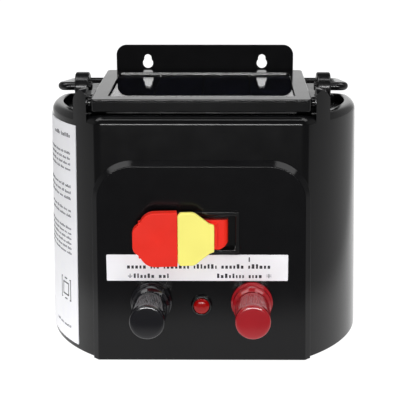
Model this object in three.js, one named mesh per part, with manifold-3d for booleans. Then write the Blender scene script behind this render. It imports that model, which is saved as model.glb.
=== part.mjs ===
// A solar electric fence energizer, in millimetres, +Z up and its front facing -Y.
// The origin is the centre of the base plate's underside, which the object stands on.
// The case holds a battery and the pulse circuit. A tilting solar panel and a carry handle are on top,
// a rocker switch with a pull-out key, two screw terminals and a lamp are on the front,
// and a keyhole bracket is on the back.
import * as THREE from "three";
import { mergeVertices } from "three/addons/utils/BufferGeometryUtils.js";
import Module from "manifold-3d";

const wasm = await Module();
wasm.setup();

// ---- Driving dimensions ----
const GAP = 0.3; // between two pieces that touch
const FAR = 300; // past every face, for blocks that only cut
const DEGREE = Math.PI / 180;

const CASE = {
  radius: 103, // of the round sides, at the rim
  centreY: 28.8,
  front: -52,
  back: 52,
  frontCorner: 9,
  backCorner: 12,
  draft: 1.2 * DEGREE, // the round sides spread towards the base
  height: 158,
  wall: 2.8,
  rimWidth: 7.3,
  rimRounding: 5.5,
  rimBottom: 149.2,
  ledgeWidth: 8.8,
  ledgeBottom: 146.5,
};
const BASE = { thickness: 4, ribTop: 12, rib: 2.2, slotTop: 10 };
const BASE_SCREWS = [
  [-85, -5],
  [85, -5],
  [-90, 38],
  [90, 38],
];
const PANEL = {
  width: 136.4,
  depth: 95,
  thickness: 8,
  front: -47,
  underside: 160, // at the front edge
  tilt: 3.9 * DEGREE,
  border: 9.8,
  lip: 1.5,
  wall: 6.3,
};
const PIVOT = { y: -38.6, z: 165, pin: 2, inner: 63.7, outer: 74, running: 0.1 }; // the panel's hinge
const EAR = { inner: 71.2, outer: 80.8, front: -46, back: -29, top: 173.9, rounding: 7.5, shoulder: 9.3 };
const SCOOP = { radius: 10.1, beyond: 0.6 }; // in the rim's corners, where the raised panel's front edge dips
const COVER = { floor: 152, halfWidth: 84, front: -36, frontTop: 159.8, back: 44.4, radius: 88, wall: 2.5 };
const POST = { inner: 74.6, outer: 83.5, barrel: 9.3, stem: 6.5, foot: 7.5 };
const HANDLE = { rod: 2.8, pinEnd: 73.8, legX: 93.2, pivotZ: 169.6, leg: 63, droop: 5.1 * DEGREE };
const FASCIA = { face: -55.5, halfWidth: 67.5, top: 130.8, corner: 25, bevel: 3.4, bottom: 0.6 };
const SWITCH = { x: 4, y: -51, z: 84.5, lean: 5 * DEGREE }; // the rocker's pivot and its rest angle
const TERMINAL = { x: 31.8, z: 40, stud: 3, knob: 10.7, collar: 13.2, hole: 6.5, running: 0.2 };
const LAMP = { z: TERMINAL.z - 2.2, barrel: 4, bore: 3.2, bezel: 6.7, lens: 5 };
const FASCIA_LABEL = { x0: -59.6, x1: 54.4, z0: 54, z1: 71.1 };
const SIDE_LABEL = { from: 50, to: 95, z0: 3.5, z1: 149.8 }; // degrees round from the front
const BRACKET = { halfWidth: 62.4, top: 191.4, bottom: 100, thickness: 1.6, corner: 7 };
const KEYHOLE = { x: 40.3, z: 178.6, round: 3.65, neck: 2.6, neckTop: 184.8 };
const BRACKET_SCREWS = [
  [-40, 128],
  [40, 128],
  [0, 110],
];
const BATTERY = { x0: -78, x1: -8, y0: 0, y1: 47, height: 101 };
const BOARD = { x0: 5, x1: 85, y: 20, thickness: 1.6, top: 124, screwZ: 118 };
const BOARD_SCREWS = [12, 78]; // X of the two screws along the board's top edge

// ---- Colours and finishes ----
const finish = (color, roughness, metalness = 0) =>
  new THREE.MeshStandardMaterial({ color, roughness, metalness });
const blackCase = finish(0x17171a, 0.45);
const blackGloss = finish(0x0b0b0d, 0.2);
const paintedSteel = finish(0x111113, 0.5, 0.3);
const steel = finish(0xb8babd, 0.35, 1);
const brass = finish(0xc9a45a, 0.35, 1);
const rubber = finish(0x1c1c1c, 0.8);
const clearGlass = new THREE.MeshStandardMaterial({
  color: 0xdfe6ee,
  roughness: 0.05,
  transparent: true,
  opacity: 0.35,
});
const cellBlue = finish(0x0c1030, 0.25);
const whiteLabel = finish(0xf2f2f2, 0.5);
const switchRed = finish(0xea3023, 0.35);
const keyYellow = finish(0xffee6e, 0.35);
const crimson = finish(0x9c1d24, 0.3);
const lampRed = finish(0xb00c12, 0.15);
const boardGreen = finish(0x1d5a32, 0.4);
const batteryGrey = finish(0x3a3d42, 0.5);
const ferrite = finish(0x2c2c2e, 0.7);
const copper = finish(0xb5672f, 0.4, 1);

// ---- Shapes: three.js geometry in, solids out ----

// A closed geometry as a solid that can be joined and cut.
function solid(geometry) {
  const bare = geometry.clone();
  bare.deleteAttribute("normal");
  bare.deleteAttribute("uv");
  const merged = mergeVertices(bare, 1e-4);
  const corners = merged.index ? merged.index.array : merged.attributes.position.array.map((_, i) => i);
  const triVerts = [];
  for (let i = 0; i < corners.length; i += 3) {
    const [a, b, c] = [corners[i], corners[i + 1], corners[i + 2]];
    if (a !== b && b !== c && c !== a) triVerts.push(a, b, c);
  }
  const build = (list) =>
    new wasm.Manifold(
      new wasm.Mesh({
        numProp: 3,
        vertProperties: new Float32Array(merged.attributes.position.array),
        triVerts: new Uint32Array(list),
      }),
    );
  const made = build(triVerts);
  return made.volume() < 0 ? build(triVerts.reverse()) : made;
}

// A solid's surface as a geometry that a mesh can show.
function surface(shape) {
  const mesh = shape.getMesh();
  const geometry = new THREE.BufferGeometry();
  geometry.setAttribute("position", new THREE.BufferAttribute(mesh.vertProperties, 3));
  geometry.setIndex(new THREE.BufferAttribute(mesh.triVerts, 1));
  geometry.computeVertexNormals();
  return geometry;
}

const join = (first, ...others) => others.reduce((whole, part) => whole.add(part), first);
const cut = (whole, ...parts) => parts.reduce((left, part) => left.subtract(part), whole);

// A block between two corners.
function block(x0, x1, y0, y1, z0, z1) {
  const box = new THREE.BoxGeometry(x1 - x0, y1 - y0, z1 - z0);
  return solid(box.translate((x0 + x1) / 2, (y0 + y1) / 2, (z0 + z1) / 2));
}

// The points of an arc, both ends among them.
function arc(x, y, radius, from, to, steps) {
  const points = [];
  for (let i = 0; i <= steps; i++) {
    const angle = from + ((to - from) * i) / steps;
    points.push(new THREE.Vector2(x + radius * Math.cos(angle), y + radius * Math.sin(angle)));
  }
  return points;
}

// A rectangle whose corners are rounded, counterclockwise from the lower left one.
function roundedRectangle(x0, x1, y0, y1, lower, upper = lower, steps = 5) {
  const right = Math.PI / 2;
  const corner = (x, y, radius, from) =>
    radius > 0 ? arc(x, y, radius, from, from + right, steps) : [new THREE.Vector2(x, y)];
  return [
    ...corner(x0 + lower, y0 + lower, lower, 2 * right),
    ...corner(x1 - lower, y0 + lower, lower, 3 * right),
    ...corner(x1 - upper, y1 - upper, upper, 0),
    ...corner(x0 + upper, y1 - upper, upper, right),
  ];
}

// An outline extruded from z0 to z1, with both ends rounded or bevelled when size is over 0.
function prism(outline, z0, z1, size = 0, steps = 3) {
  const options = { depth: z1 - z0 - 2 * size, bevelEnabled: size > 0 };
  if (size > 0)
    Object.assign(options, {
      bevelSize: size,
      bevelThickness: size,
      bevelOffset: -size,
      bevelSegments: steps,
    });
  return new THREE.ExtrudeGeometry(new THREE.Shape(outline), options).translate(0, 0, z0 + size);
}

// Turns an extrusion so that its outline lies in XZ and its depth runs towards -Y.
const facingFront = (geometry) => geometry.rotateX(Math.PI / 2);

// Turns an extrusion so that its outline lies in YZ and its depth runs towards +X.
const facingSide = (geometry) =>
  geometry.applyMatrix4(new THREE.Matrix4().set(0, 0, 1, 0, 1, 0, 0, 0, 0, 1, 0, 0, 0, 0, 0, 1));

// Round bars along each axis, from one end to the other, at the two other coordinates.
function barX(radius, x0, x1, y, z, sides = 24) {
  const bar = new THREE.CylinderGeometry(radius, radius, x1 - x0, sides).rotateZ(Math.PI / 2);
  return solid(bar.translate((x0 + x1) / 2, y, z));
}
function barY(radius, y0, y1, x, z, sides = 24) {
  const bar = new THREE.CylinderGeometry(radius, radius, y1 - y0, sides);
  return solid(bar.translate(x, (y0 + y1) / 2, z));
}
function barZ(radius, z0, z1, x, y, sides = 24) {
  const bar = new THREE.CylinderGeometry(radius, radius, z1 - z0, sides).rotateX(Math.PI / 2);
  return solid(bar.translate(x, y, (z0 + z1) / 2));
}

// A profile of [radius, y] points turned about the Y axis, then moved to x and z.
function turned(profile, x = 0, z = 0, sides = 32) {
  const points = profile.map(([radius, y]) => new THREE.Vector2(radius, y));
  return solid(new THREE.LatheGeometry(points, sides).translate(x, 0, z));
}

// A path with one extrusion step to each station.
class StationPath extends THREE.Curve {
  constructor(stations) {
    super();
    this.stations = stations;
  }
  getPoint(t, target = new THREE.Vector3()) {
    const place = t * (this.stations.length - 1);
    const i = Math.min(Math.floor(place), this.stations.length - 2);
    return target.lerpVectors(this.stations[i], this.stations[i + 1], place - i);
  }
  getPointAt(t, target) {
    return this.getPoint(t, target);
  }
  getTangentAt(t, target = new THREE.Vector3()) {
    const last = this.stations.length - 1;
    const i = Math.round(t * last);
    const ahead = this.stations[Math.min(i + 1, last)];
    return target.subVectors(ahead, this.stations[Math.max(i - 1, 0)]).normalize();
  }
}

// The stations of a route through corner points, each corner an arc of its own radius.
function bentRoute(corners, radii, steps = 5) {
  const stations = [corners[0]];
  for (let i = 1; i < corners.length - 1; i++) {
    const back = new THREE.Vector3().subVectors(corners[i - 1], corners[i]).normalize();
    const ahead = new THREE.Vector3().subVectors(corners[i + 1], corners[i]).normalize();
    const half = back.angleTo(ahead) / 2;
    const toCentre = back.clone().add(ahead).normalize().multiplyScalar(radii[i - 1] / Math.sin(half));
    const centre = corners[i].clone().add(toCentre);
    const start = corners[i].clone().addScaledVector(back, radii[i - 1] / Math.tan(half)).sub(centre);
    const turn = new THREE.Vector3().crossVectors(ahead, back).normalize();
    const angle = Math.PI - 2 * half;
    for (let k = 0; k <= steps; k++)
      stations.push(start.clone().applyAxisAngle(turn, (angle * k) / steps).add(centre));
  }
  stations.push(corners[corners.length - 1]);
  return stations;
}

// ---- The object's group, and the way a piece is added to it ----
const energizer = new THREE.Group();

function piece(name, shape, material, parent = energizer) {
  const mesh = new THREE.Mesh(surface(shape), material);
  mesh.name = name;
  parent.add(mesh);
}

const SIDES = [
  ["left", -1],
  ["right", 1],
];

// ---- The case ----

// The case's plan, moved in from its outer face: flat front and back, round sides.
function caseOutline(inset) {
  const { radius, centreY, front, back, frontCorner, backCorner } = CASE;
  const frontY = front + frontCorner;
  const backY = back - backCorner;
  const frontX = Math.sqrt((radius - frontCorner) ** 2 - (frontY - centreY) ** 2);
  const backX = Math.sqrt((radius - backCorner) ** 2 - (backY - centreY) ** 2);
  const frontAngle = Math.atan2(frontY - centreY, frontX);
  const backAngle = Math.atan2(backY - centreY, backX);
  const right = [
    ...arc(frontX, frontY, frontCorner - inset, -Math.PI / 2, frontAngle, 4),
    ...arc(0, centreY, radius - inset, frontAngle, backAngle, 14).slice(1),
    ...arc(backX, backY, backCorner - inset, backAngle, Math.PI / 2, 6).slice(1),
  ];
  const left = right.map((point) => new THREE.Vector2(-point.x, point.y)).reverse();
  return [...right, ...left];
}

// Spreads a geometry sideways below the rim, as the mould's draft does.
function flared(geometry) {
  const place = geometry.attributes.position;
  for (let i = 0; i < place.count; i++) {
    const spread = 1 + ((CASE.height - place.getZ(i)) * Math.tan(CASE.draft)) / CASE.radius;
    place.setX(i, place.getX(i) * spread);
  }
  return geometry;
}

const caseBlock = (inset, z0, z1, rounding = 0) =>
  solid(flared(prism(caseOutline(inset), z0, z1, rounding)));

// One hinge ear, part of the rim: its front follows the case's wall, and its outer top corner is round.
function ear(side) {
  const x0 = side > 0 ? EAR.inner : -EAR.outer;
  const x1 = side > 0 ? EAR.outer : -EAR.inner;
  const sideView = roundedRectangle(EAR.front, EAR.back, CASE.rimBottom, EAR.top, 0, EAR.rounding, 6);
  const lobe = solid(facingSide(prism(sideView, x0, x1)));
  const frontView = roundedRectangle(-EAR.outer, EAR.outer, 0, EAR.top, 0, EAR.shoulder, 6);
  const cornered = solid(facingFront(prism(frontView, 0, FAR / 4)));
  const inMoat = caseBlock(CASE.rimWidth, 0, COVER.floor + 2 * GAP);
  const [bore0, bore1] = [side * PIVOT.inner, side * (PIVOT.outer + GAP)].sort((a, b) => a - b);
  const bore = barX(PIVOT.pin + PIVOT.running, bore0, bore1, PIVOT.y, PIVOT.z);
  return cut(lobe.intersect(cornered).intersect(caseBlock(0.2, 0, EAR.top + 10)), inMoat, bore);
}

const windowOutline = roundedRectangle(-50, 50, 16, 104, 6);
const bracketBoss = ([x, z]) => barY(4.5, 38, CASE.back - 1, x, z, 16);
const bracketBore = ([x, z]) => barY(1.9, 36, CASE.back + 5, x, z, 16);
const boardPost = (x) => barY(4, BOARD.y + BOARD.thickness + GAP, CASE.back - 1, x, BOARD.screwZ, 16);
const boardBore = (x) => barY(1.6, BOARD.y, 40, x, BOARD.screwZ, 12);

// A post for a base screw, with a web that ties it to the side wall.
function baseBoss([x, y]) {
  const bottom = BASE.thickness + GAP;
  const top = 26;
  const [web0, web1] = [x, x + 13 * Math.sign(x)].sort((a, b) => a - b);
  const web = block(web0, web1, y - 1.5, y + 1.5, bottom, top);
  return barZ(5, bottom, top, x, y, 16).add(web.intersect(caseBlock(1, 0, top + 5)));
}
const baseBore = ([x, y]) => barZ(2, -1, 22, x, y, 16);

const scoopX = PANEL.width / 2 + SCOOP.beyond;
const shell = cut(
  caseBlock(0, -10, CASE.height, CASE.rimRounding).intersect(block(-FAR, FAR, -FAR, FAR, 0, FAR)),
  caseBlock(CASE.wall, -12, CASE.ledgeBottom),
  caseBlock(CASE.ledgeWidth, CASE.ledgeBottom - 1, CASE.rimBottom + 0.1),
  caseBlock(CASE.rimWidth, CASE.rimBottom, CASE.height + 5),
  solid(facingFront(prism(windowOutline, 40, 60))),
  barX(SCOOP.radius, -scoopX, scoopX, PIVOT.y, PIVOT.z, 64),
);
const shellWithBosses = join(
  shell,
  ear(-1),
  ear(1),
  ...BRACKET_SCREWS.map(bracketBoss),
  ...BOARD_SCREWS.map(boardPost),
  ...BASE_SCREWS.map(baseBoss),
);
piece(
  "case_shell",
  cut(
    shellWithBosses,
    ...BRACKET_SCREWS.map(bracketBore),
    ...BOARD_SCREWS.map(boardBore),
    ...BASE_SCREWS.map(baseBore),
  ),
  blackCase,
);

// ---- The top cover: a flange in the rim, and a sloping plateau under the panel ----
function plateau(inset, floor) {
  const { halfWidth, front, back, frontTop, radius } = COVER;
  const plan = roundedRectangle(-halfWidth + inset, halfWidth - inset, front + inset, back - inset, 8);
  const above = new THREE.BoxGeometry(FAR, FAR, 60).translate(0, 0, 30).rotateX(PANEL.tilt);
  above.translate(0, front, frontTop - inset);
  const top = frontTop + 20;
  return solid(prism(plan, floor, top))
    .intersect(barZ(radius - inset, floor, top, 0, CASE.centreY, 64))
    .subtract(solid(above));
}
const WELL = { halfX: 22, y0: -9, y1: 25, floor: COVER.floor + 2.5 }; // takes the panel's junction box
const GROMMET = { x: 0, y: 8, hole: 5 };
// The room that a handle post stands in, cut out of the plateau's side.
function postNotch(side, grow) {
  const [x0, x1] = [side * (POST.inner - 0.7 - grow), side * 95].sort((a, b) => a - b);
  const halfDepth = POST.foot + 0.5 + grow;
  return block(x0, x1, -halfDepth, halfDepth, grow ? 0 : COVER.floor, FAR);
}
const wellWalls = block(
  -WELL.halfX - COVER.wall,
  WELL.halfX + COVER.wall,
  WELL.y0 - COVER.wall,
  WELL.y1 + COVER.wall,
  WELL.floor - COVER.wall,
  FAR,
);
const hollow = cut(
  plateau(COVER.wall, COVER.floor - 5),
  wellWalls,
  postNotch(-1, COVER.wall),
  postNotch(1, COVER.wall),
);
piece(
  "top_cover",
  cut(
    caseBlock(CASE.rimWidth + GAP, CASE.rimBottom + GAP, COVER.floor).add(plateau(0, COVER.floor - 2)),
    hollow,
    block(-WELL.halfX, WELL.halfX, WELL.y0, WELL.y1, WELL.floor, FAR),
    barZ(GROMMET.hole, WELL.floor - 8, WELL.floor + 3, GROMMET.x, GROMMET.y),
    postNotch(-1, 0),
    postNotch(1, 0),
  ),
  blackCase,
);

// A rubber ring that seals the panel's lead where it goes down into the case.
const wellUnderside = WELL.floor - COVER.wall;
piece(
  "cable_grommet",
  solid(
    new THREE.LatheGeometry(
      [
        [2, wellUnderside - 2],
        [6.5, wellUnderside - 2],
        [6.5, wellUnderside - GAP],
        [4.7, wellUnderside - GAP],
        [4.7, WELL.floor + GAP],
        [6.5, WELL.floor + GAP],
        [5.5, WELL.floor + 2],
        [2, WELL.floor + 2],
        [2, wellUnderside - 2],
      ].map(([radius, z]) => new THREE.Vector2(radius, z)),
      20,
    )
      .rotateX(Math.PI / 2)
      .translate(GROMMET.x, GROMMET.y, 0),
  ),
  rubber,
);

// ---- The base plate, with a cradle for the battery and a slot for the board ----
const cradle = block(
  BATTERY.x0 - GAP - BASE.rib,
  BATTERY.x1 + GAP + BASE.rib,
  BATTERY.y0 - GAP - BASE.rib,
  CASE.back - CASE.wall - 2 * GAP,
  1,
  BASE.ribTop,
).subtract(
  block(
    BATTERY.x0 - GAP,
    BATTERY.x1 + GAP,
    BATTERY.y0 - GAP,
    BATTERY.y1 + GAP,
    BASE.thickness,
    BASE.ribTop + 1,
  ),
);
const boardBack = BOARD.y + BOARD.thickness;
piece(
  "base_plate",
  cut(
    join(
      caseBlock(CASE.wall + GAP, 0, BASE.thickness),
      cradle,
      block(BOARD.x0, BOARD.x1, BOARD.y - GAP - BASE.rib, BOARD.y - GAP, 1, BASE.slotTop),
      block(BOARD.x0, BOARD.x1, boardBack + GAP, boardBack + GAP + BASE.rib, 1, BASE.slotTop),
    ),
    ...BASE_SCREWS.map(([x, y]) => barZ(3.9, -1, 2.4, x, y)),
    ...BASE_SCREWS.map(([x, y]) => barZ(2, -1, 6, x, y, 16)),
  ),
  blackCase,
);
BASE_SCREWS.forEach(([x, y], i) =>
  piece(`base_screw_${i + 1}`, barZ(3.5, 0.4, 2.1, x, y, 18).add(barZ(1.7, 2, 18, x, y, 12)), steel),
);

// ---- The front fascia, the window's cover, and what is printed ----
const fasciaOutline = roundedRectangle(
  -FASCIA.halfWidth,
  FASCIA.halfWidth,
  -20,
  FASCIA.top,
  0,
  FASCIA.corner,
  9,
);
const SWITCH_HOLE = { x0: -12.4, x1: 22.8, below: 11.2, above: 13.6 };
const switchBlock = (x0, x1, y0, y1, below, above) =>
  block(x0, x1, y0, y1, SWITCH.z - below, SWITCH.z + above);
piece(
  "front_fascia",
  cut(
    solid(flared(facingFront(prism(fasciaOutline, 40, -FASCIA.face, FASCIA.bevel, 1)))).intersect(
      block(-FAR, FAR, -FAR, FAR, FASCIA.bottom, FAR),
    ),
    caseBlock(-GAP, -5, CASE.height - 10),
    switchBlock(SWITCH_HOLE.x0, SWITCH_HOLE.x1, -60, -40, SWITCH_HOLE.below, SWITCH_HOLE.above),
    barY(TERMINAL.hole, -60, -40, -TERMINAL.x, TERMINAL.z),
    barY(TERMINAL.hole, -60, -40, TERMINAL.x, TERMINAL.z),
    barY(LAMP.barrel + GAP, -60, -40, 0, LAMP.z),
  ),
  blackCase,
);
piece(
  "fascia_label",
  block(
    FASCIA_LABEL.x0,
    FASCIA_LABEL.x1,
    FASCIA.face - 2 * GAP,
    FASCIA.face - GAP,
    FASCIA_LABEL.z0,
    FASCIA_LABEL.z1,
  ),
  whiteLabel,
);

// The label that wraps the left side, from its front edge to its back edge.
const labelSpan = [SIDE_LABEL.from, SIDE_LABEL.to].map((angle) => (-90 - angle) * DEGREE);
const wedge = solid(
  prism(
    [new THREE.Vector2(0, CASE.centreY), ...arc(0, CASE.centreY, 160, ...labelSpan, 3)],
    SIDE_LABEL.z0,
    SIDE_LABEL.z1,
  ),
);
piece(
  "side_label",
  caseBlock(-2 * GAP, 0, CASE.height - 5).subtract(caseBlock(-GAP, -5, CASE.height)).intersect(wedge),
  whiteLabel,
);

// ---- The wall bracket, with two keyholes ----
const bracketFront = CASE.back + GAP;
const bracketBack = bracketFront + BRACKET.thickness;
const plate = roundedRectangle(
  -BRACKET.halfWidth,
  BRACKET.halfWidth,
  BRACKET.bottom,
  BRACKET.top,
  3,
  BRACKET.corner,
);
const neckZ = KEYHOLE.neckTop - KEYHOLE.neck;
const keyhole = (x) =>
  join(
    barY(KEYHOLE.round, 50, 56, x, KEYHOLE.z),
    barY(KEYHOLE.neck, 50, 56, x, neckZ, 16),
    block(x - KEYHOLE.neck, x + KEYHOLE.neck, 50, 56, KEYHOLE.z, neckZ),
  );
const countersink = (y, grow) => [
  [0, y - BRACKET.thickness - grow],
  [1.8 + grow, y - BRACKET.thickness - grow],
  [3.4 + grow, y],
  [0, y],
];
piece(
  "wall_bracket",
  cut(
    solid(facingFront(prism(plate, -bracketBack, -bracketFront))),
    keyhole(-KEYHOLE.x),
    keyhole(KEYHOLE.x),
    ...BRACKET_SCREWS.map(([x, z]) => turned(countersink(bracketBack + 0.01, GAP), x, z, 16)),
  ),
  paintedSteel,
);
BRACKET_SCREWS.forEach(([x, z], i) =>
  piece(
    `bracket_screw_${i + 1}`,
    turned(countersink(bracketBack, 0), x, z, 16).add(barY(1.6, 40, bracketFront + 0.5, x, z, 12)),
    steel,
  ),
);

// ---- The solar panel, built flat in its own frame and then tilted ----
const panel = new THREE.Group();
panel.position.set(0, PANEL.front, PANEL.underside);
panel.rotation.x = PANEL.tilt;
energizer.add(panel);
const halfPanel = PANEL.width / 2;
const pocketX = halfPanel - PANEL.wall;
const pocketY = [PANEL.wall, PANEL.depth - PANEL.wall];
const opening = roundedRectangle(
  -halfPanel + PANEL.border,
  halfPanel - PANEL.border,
  PANEL.border,
  PANEL.depth - PANEL.border,
  1.5,
);
// The hinge axis in the panel's own frame.
const axis = new THREE.Vector2(PIVOT.y - PANEL.front, PIVOT.z - PANEL.underside).rotateAround(
  new THREE.Vector2(),
  -PANEL.tilt,
);
piece(
  "panel_frame",
  cut(
    solid(prism(roundedRectangle(-halfPanel, halfPanel, 0, PANEL.depth, 3), 0, PANEL.thickness, 0.6, 1)),
    block(-pocketX, pocketX, pocketY[0], pocketY[1], -1, PANEL.thickness - PANEL.lip),
    solid(prism(opening, 2, PANEL.thickness + 1)),
    barX(PIVOT.pin + PIVOT.running, -halfPanel - 1, -halfPanel + 5, axis.x, axis.y),
    barX(PIVOT.pin + PIVOT.running, halfPanel - 5, halfPanel + 1, axis.x, axis.y),
  ),
  blackCase,
  panel,
);
const layer = (z0, z1) =>
  block(-pocketX + GAP, pocketX - GAP, pocketY[0] + GAP, pocketY[1] - GAP, z0, z1);
const glassTop = PANEL.thickness - PANEL.lip - GAP;
piece("panel_glass", layer(glassTop - 2.6, glassTop), clearGlass, panel);
const CELLS = 4;
const cellPitch = (2 * (pocketX - GAP)) / CELLS;
for (let i = 0; i < CELLS; i++) {
  const x = -pocketX + GAP + i * cellPitch;
  const cell = block(x + 0.5, x + cellPitch - 0.5, pocketY[0] + 1, pocketY[1] - 1, 2.8, 3.3);
  piece(`panel_cell_${i + 1}`, cell, cellBlue, panel);
}
piece("panel_backing", layer(0.6, 2.5), blackCase, panel);
piece(
  "panel_junction_box",
  solid(prism(roundedRectangle(-19, 19, 43, 65, 2, 2, 3), -5.5, 0.3)),
  blackCase,
  panel,
);
for (const [name, side] of SIDES) {
  const ends = [side * PIVOT.inner, side * PIVOT.outer].sort((a, b) => a - b);
  const faces = [side * (halfPanel + GAP), side * (EAR.inner - GAP)].sort((a, b) => a - b);
  piece(`panel_pivot_pin_${name}`, barX(PIVOT.pin, ...ends, PIVOT.y, PIVOT.z), steel);
  const eye = barX(PIVOT.pin + PIVOT.running, -90, 90, PIVOT.y, PIVOT.z);
  piece(`panel_pivot_washer_${name}`, barX(3.6, ...faces, PIVOT.y, PIVOT.z).subtract(eye), blackGloss);
}

// ---- The carry handle, one bent rod, in two posts ----
for (const [name, side] of SIDES) {
  const [x0, x1] = [side * POST.inner, side * POST.outer].sort((a, b) => a - b);
  const post = cut(
    join(
      barX(POST.barrel, x0, x1, 0, HANDLE.pivotZ, 32),
      block(x0, x1, -POST.stem, POST.stem, COVER.floor + GAP, HANDLE.pivotZ),
      block(x0 - 0.3, x1 + 0.3, -POST.foot, POST.foot, COVER.floor + GAP, COVER.floor + 3.5),
    ),
    barX(HANDLE.rod + 0.25, x0 - 1, x1 + 1, 0, HANDLE.pivotZ),
  );
  piece(`handle_post_${name}`, post, blackGloss);
}
const grip = new THREE.Vector2(HANDLE.leg * Math.cos(HANDLE.droop), -HANDLE.leg * Math.sin(HANDLE.droop));
const handleRoute = bentRoute(
  [
    new THREE.Vector3(-HANDLE.pinEnd, 0, HANDLE.pivotZ),
    new THREE.Vector3(-HANDLE.legX, 0, HANDLE.pivotZ),
    new THREE.Vector3(-HANDLE.legX, grip.x, HANDLE.pivotZ + grip.y),
    new THREE.Vector3(HANDLE.legX, grip.x, HANDLE.pivotZ + grip.y),
    new THREE.Vector3(HANDLE.legX, 0, HANDLE.pivotZ),
    new THREE.Vector3(HANDLE.pinEnd, 0, HANDLE.pivotZ),
  ],
  [4.4, 14, 14, 4.4],
);
piece(
  "carry_handle",
  solid(
    new THREE.ExtrudeGeometry(new THREE.Shape(arc(0, 0, HANDLE.rod, 0, 2 * Math.PI, 16).slice(1)), {
      steps: handleRoute.length - 1,
      extrudePath: new StationPath(handleRoute),
    }),
  ),
  blackGloss,
);

// ---- The rocker switch ----
const SOCKET = { x0: -10.5, x1: 21.4, below: 9.9, above: 12.2, back: -38 };
const BEZEL = { x0: -15, x1: 23.6, below: 12, above: 14.7, corner: 1.2, thickness: 1.5 };
const bezelOutline = roundedRectangle(
  BEZEL.x0,
  BEZEL.x1,
  SWITCH.z - BEZEL.below,
  SWITCH.z + BEZEL.above,
  BEZEL.corner,
  BEZEL.corner,
  3,
);
const bezelBack = FASCIA.face - GAP;
piece(
  "switch_body",
  cut(
    solid(facingFront(prism(bezelOutline, -bezelBack, -bezelBack + BEZEL.thickness))).add(
      switchBlock(
        SWITCH_HOLE.x0 + GAP,
        SWITCH_HOLE.x1 - GAP,
        bezelBack - 0.2,
        -34,
        SWITCH_HOLE.below - GAP,
        SWITCH_HOLE.above - GAP,
      ),
    ),
    switchBlock(SOCKET.x0, SOCKET.x1, -60, SOCKET.back, SOCKET.below, SOCKET.above),
    barZ(1.1, SWITCH.z - 10.6, SWITCH.z + 12.9, SWITCH.x, SWITCH.y, 16),
  ),
  blackGloss,
);
piece(
  "switch_pivot_pin",
  barZ(1, SWITCH.z - 10.3, SWITCH.z + 12.6, SWITCH.x, SWITCH.y, 16),
  steel,
);
[-4, 14].forEach((x, i) =>
  piece(`switch_tab_${i + 1}`, block(x - 3.1, x + 3.1, -33.7, -25, SWITCH.z - 0.4, SWITCH.z + 0.4), brass),
);

// The rocker's own frame: its pivot at the origin, leaning out a little at rest.
const rocker = new THREE.Group();
rocker.position.set(SWITCH.x, SWITCH.y, SWITCH.z);
rocker.rotation.z = SWITCH.lean;
energizer.add(rocker);
const PADDLE = { face: 16, back: 9.5, seam: -19.6, left: -47.2, half: 17.1, right: 2.9 };
const NECK = { front: -12.2, half: 7.5 }; // between the paddle and the rocker's core
const paddleSeam = PADDLE.seam - GAP / 2;
const headOutline = [
  ...arc(PADDLE.left + 9, PADDLE.half - 9, 9, Math.PI / 2, Math.PI, 6),
  ...arc(PADDLE.left + 9, -PADDLE.half + 9, 9, Math.PI, 1.5 * Math.PI, 6),
  new THREE.Vector2(paddleSeam, -PADDLE.half),
  new THREE.Vector2(paddleSeam, PADDLE.half),
];
const prong = (grow) => block(-3 - grow, 3 + grow, -12.9, -5.6 + grow, -4 - grow, 4 + grow);
piece(
  "switch_rocker",
  cut(
    join(
      solid(facingFront(prism(headOutline, PADDLE.back, PADDLE.face, 0.6, 1))),
      block(paddleSeam - 3, 5, NECK.front, -PADDLE.back, -NECK.half, NECK.half),
      block(-5, 5, NECK.front, -6, -NECK.half, NECK.half),
      block(-5, 12.5, -7, 1, -9.5, 9.5),
      barZ(5, -9.5, 9.5, 0, 0),
    ),
    barZ(1.15, -12, 12, 0, 0, 16),
    prong(GAP),
  ),
  switchRed,
  rocker,
);
const keyHalf = PADDLE.half - 0.3;
const keyUpper = [
  new THREE.Vector2(PADDLE.seam, keyHalf - 1.8),
  new THREE.Vector2(PADDLE.seam + 1.8, keyHalf),
  new THREE.Vector2(-10.3, keyHalf),
  new THREE.Vector2(-8.3, keyHalf - 0.8),
  new THREE.Vector2(0, 9.4),
  new THREE.Vector2(PADDLE.right, 8.4),
];
const keyLower = keyUpper.map((point) => new THREE.Vector2(point.x, -point.y)).reverse();
const keyOutline = [...keyUpper, ...keyLower];
piece(
  "switch_key",
  solid(facingFront(prism(keyOutline.reverse(), 12.5, PADDLE.face, 0.4, 1))).add(prong(0)),
  keyYellow,
  rocker,
);

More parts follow.
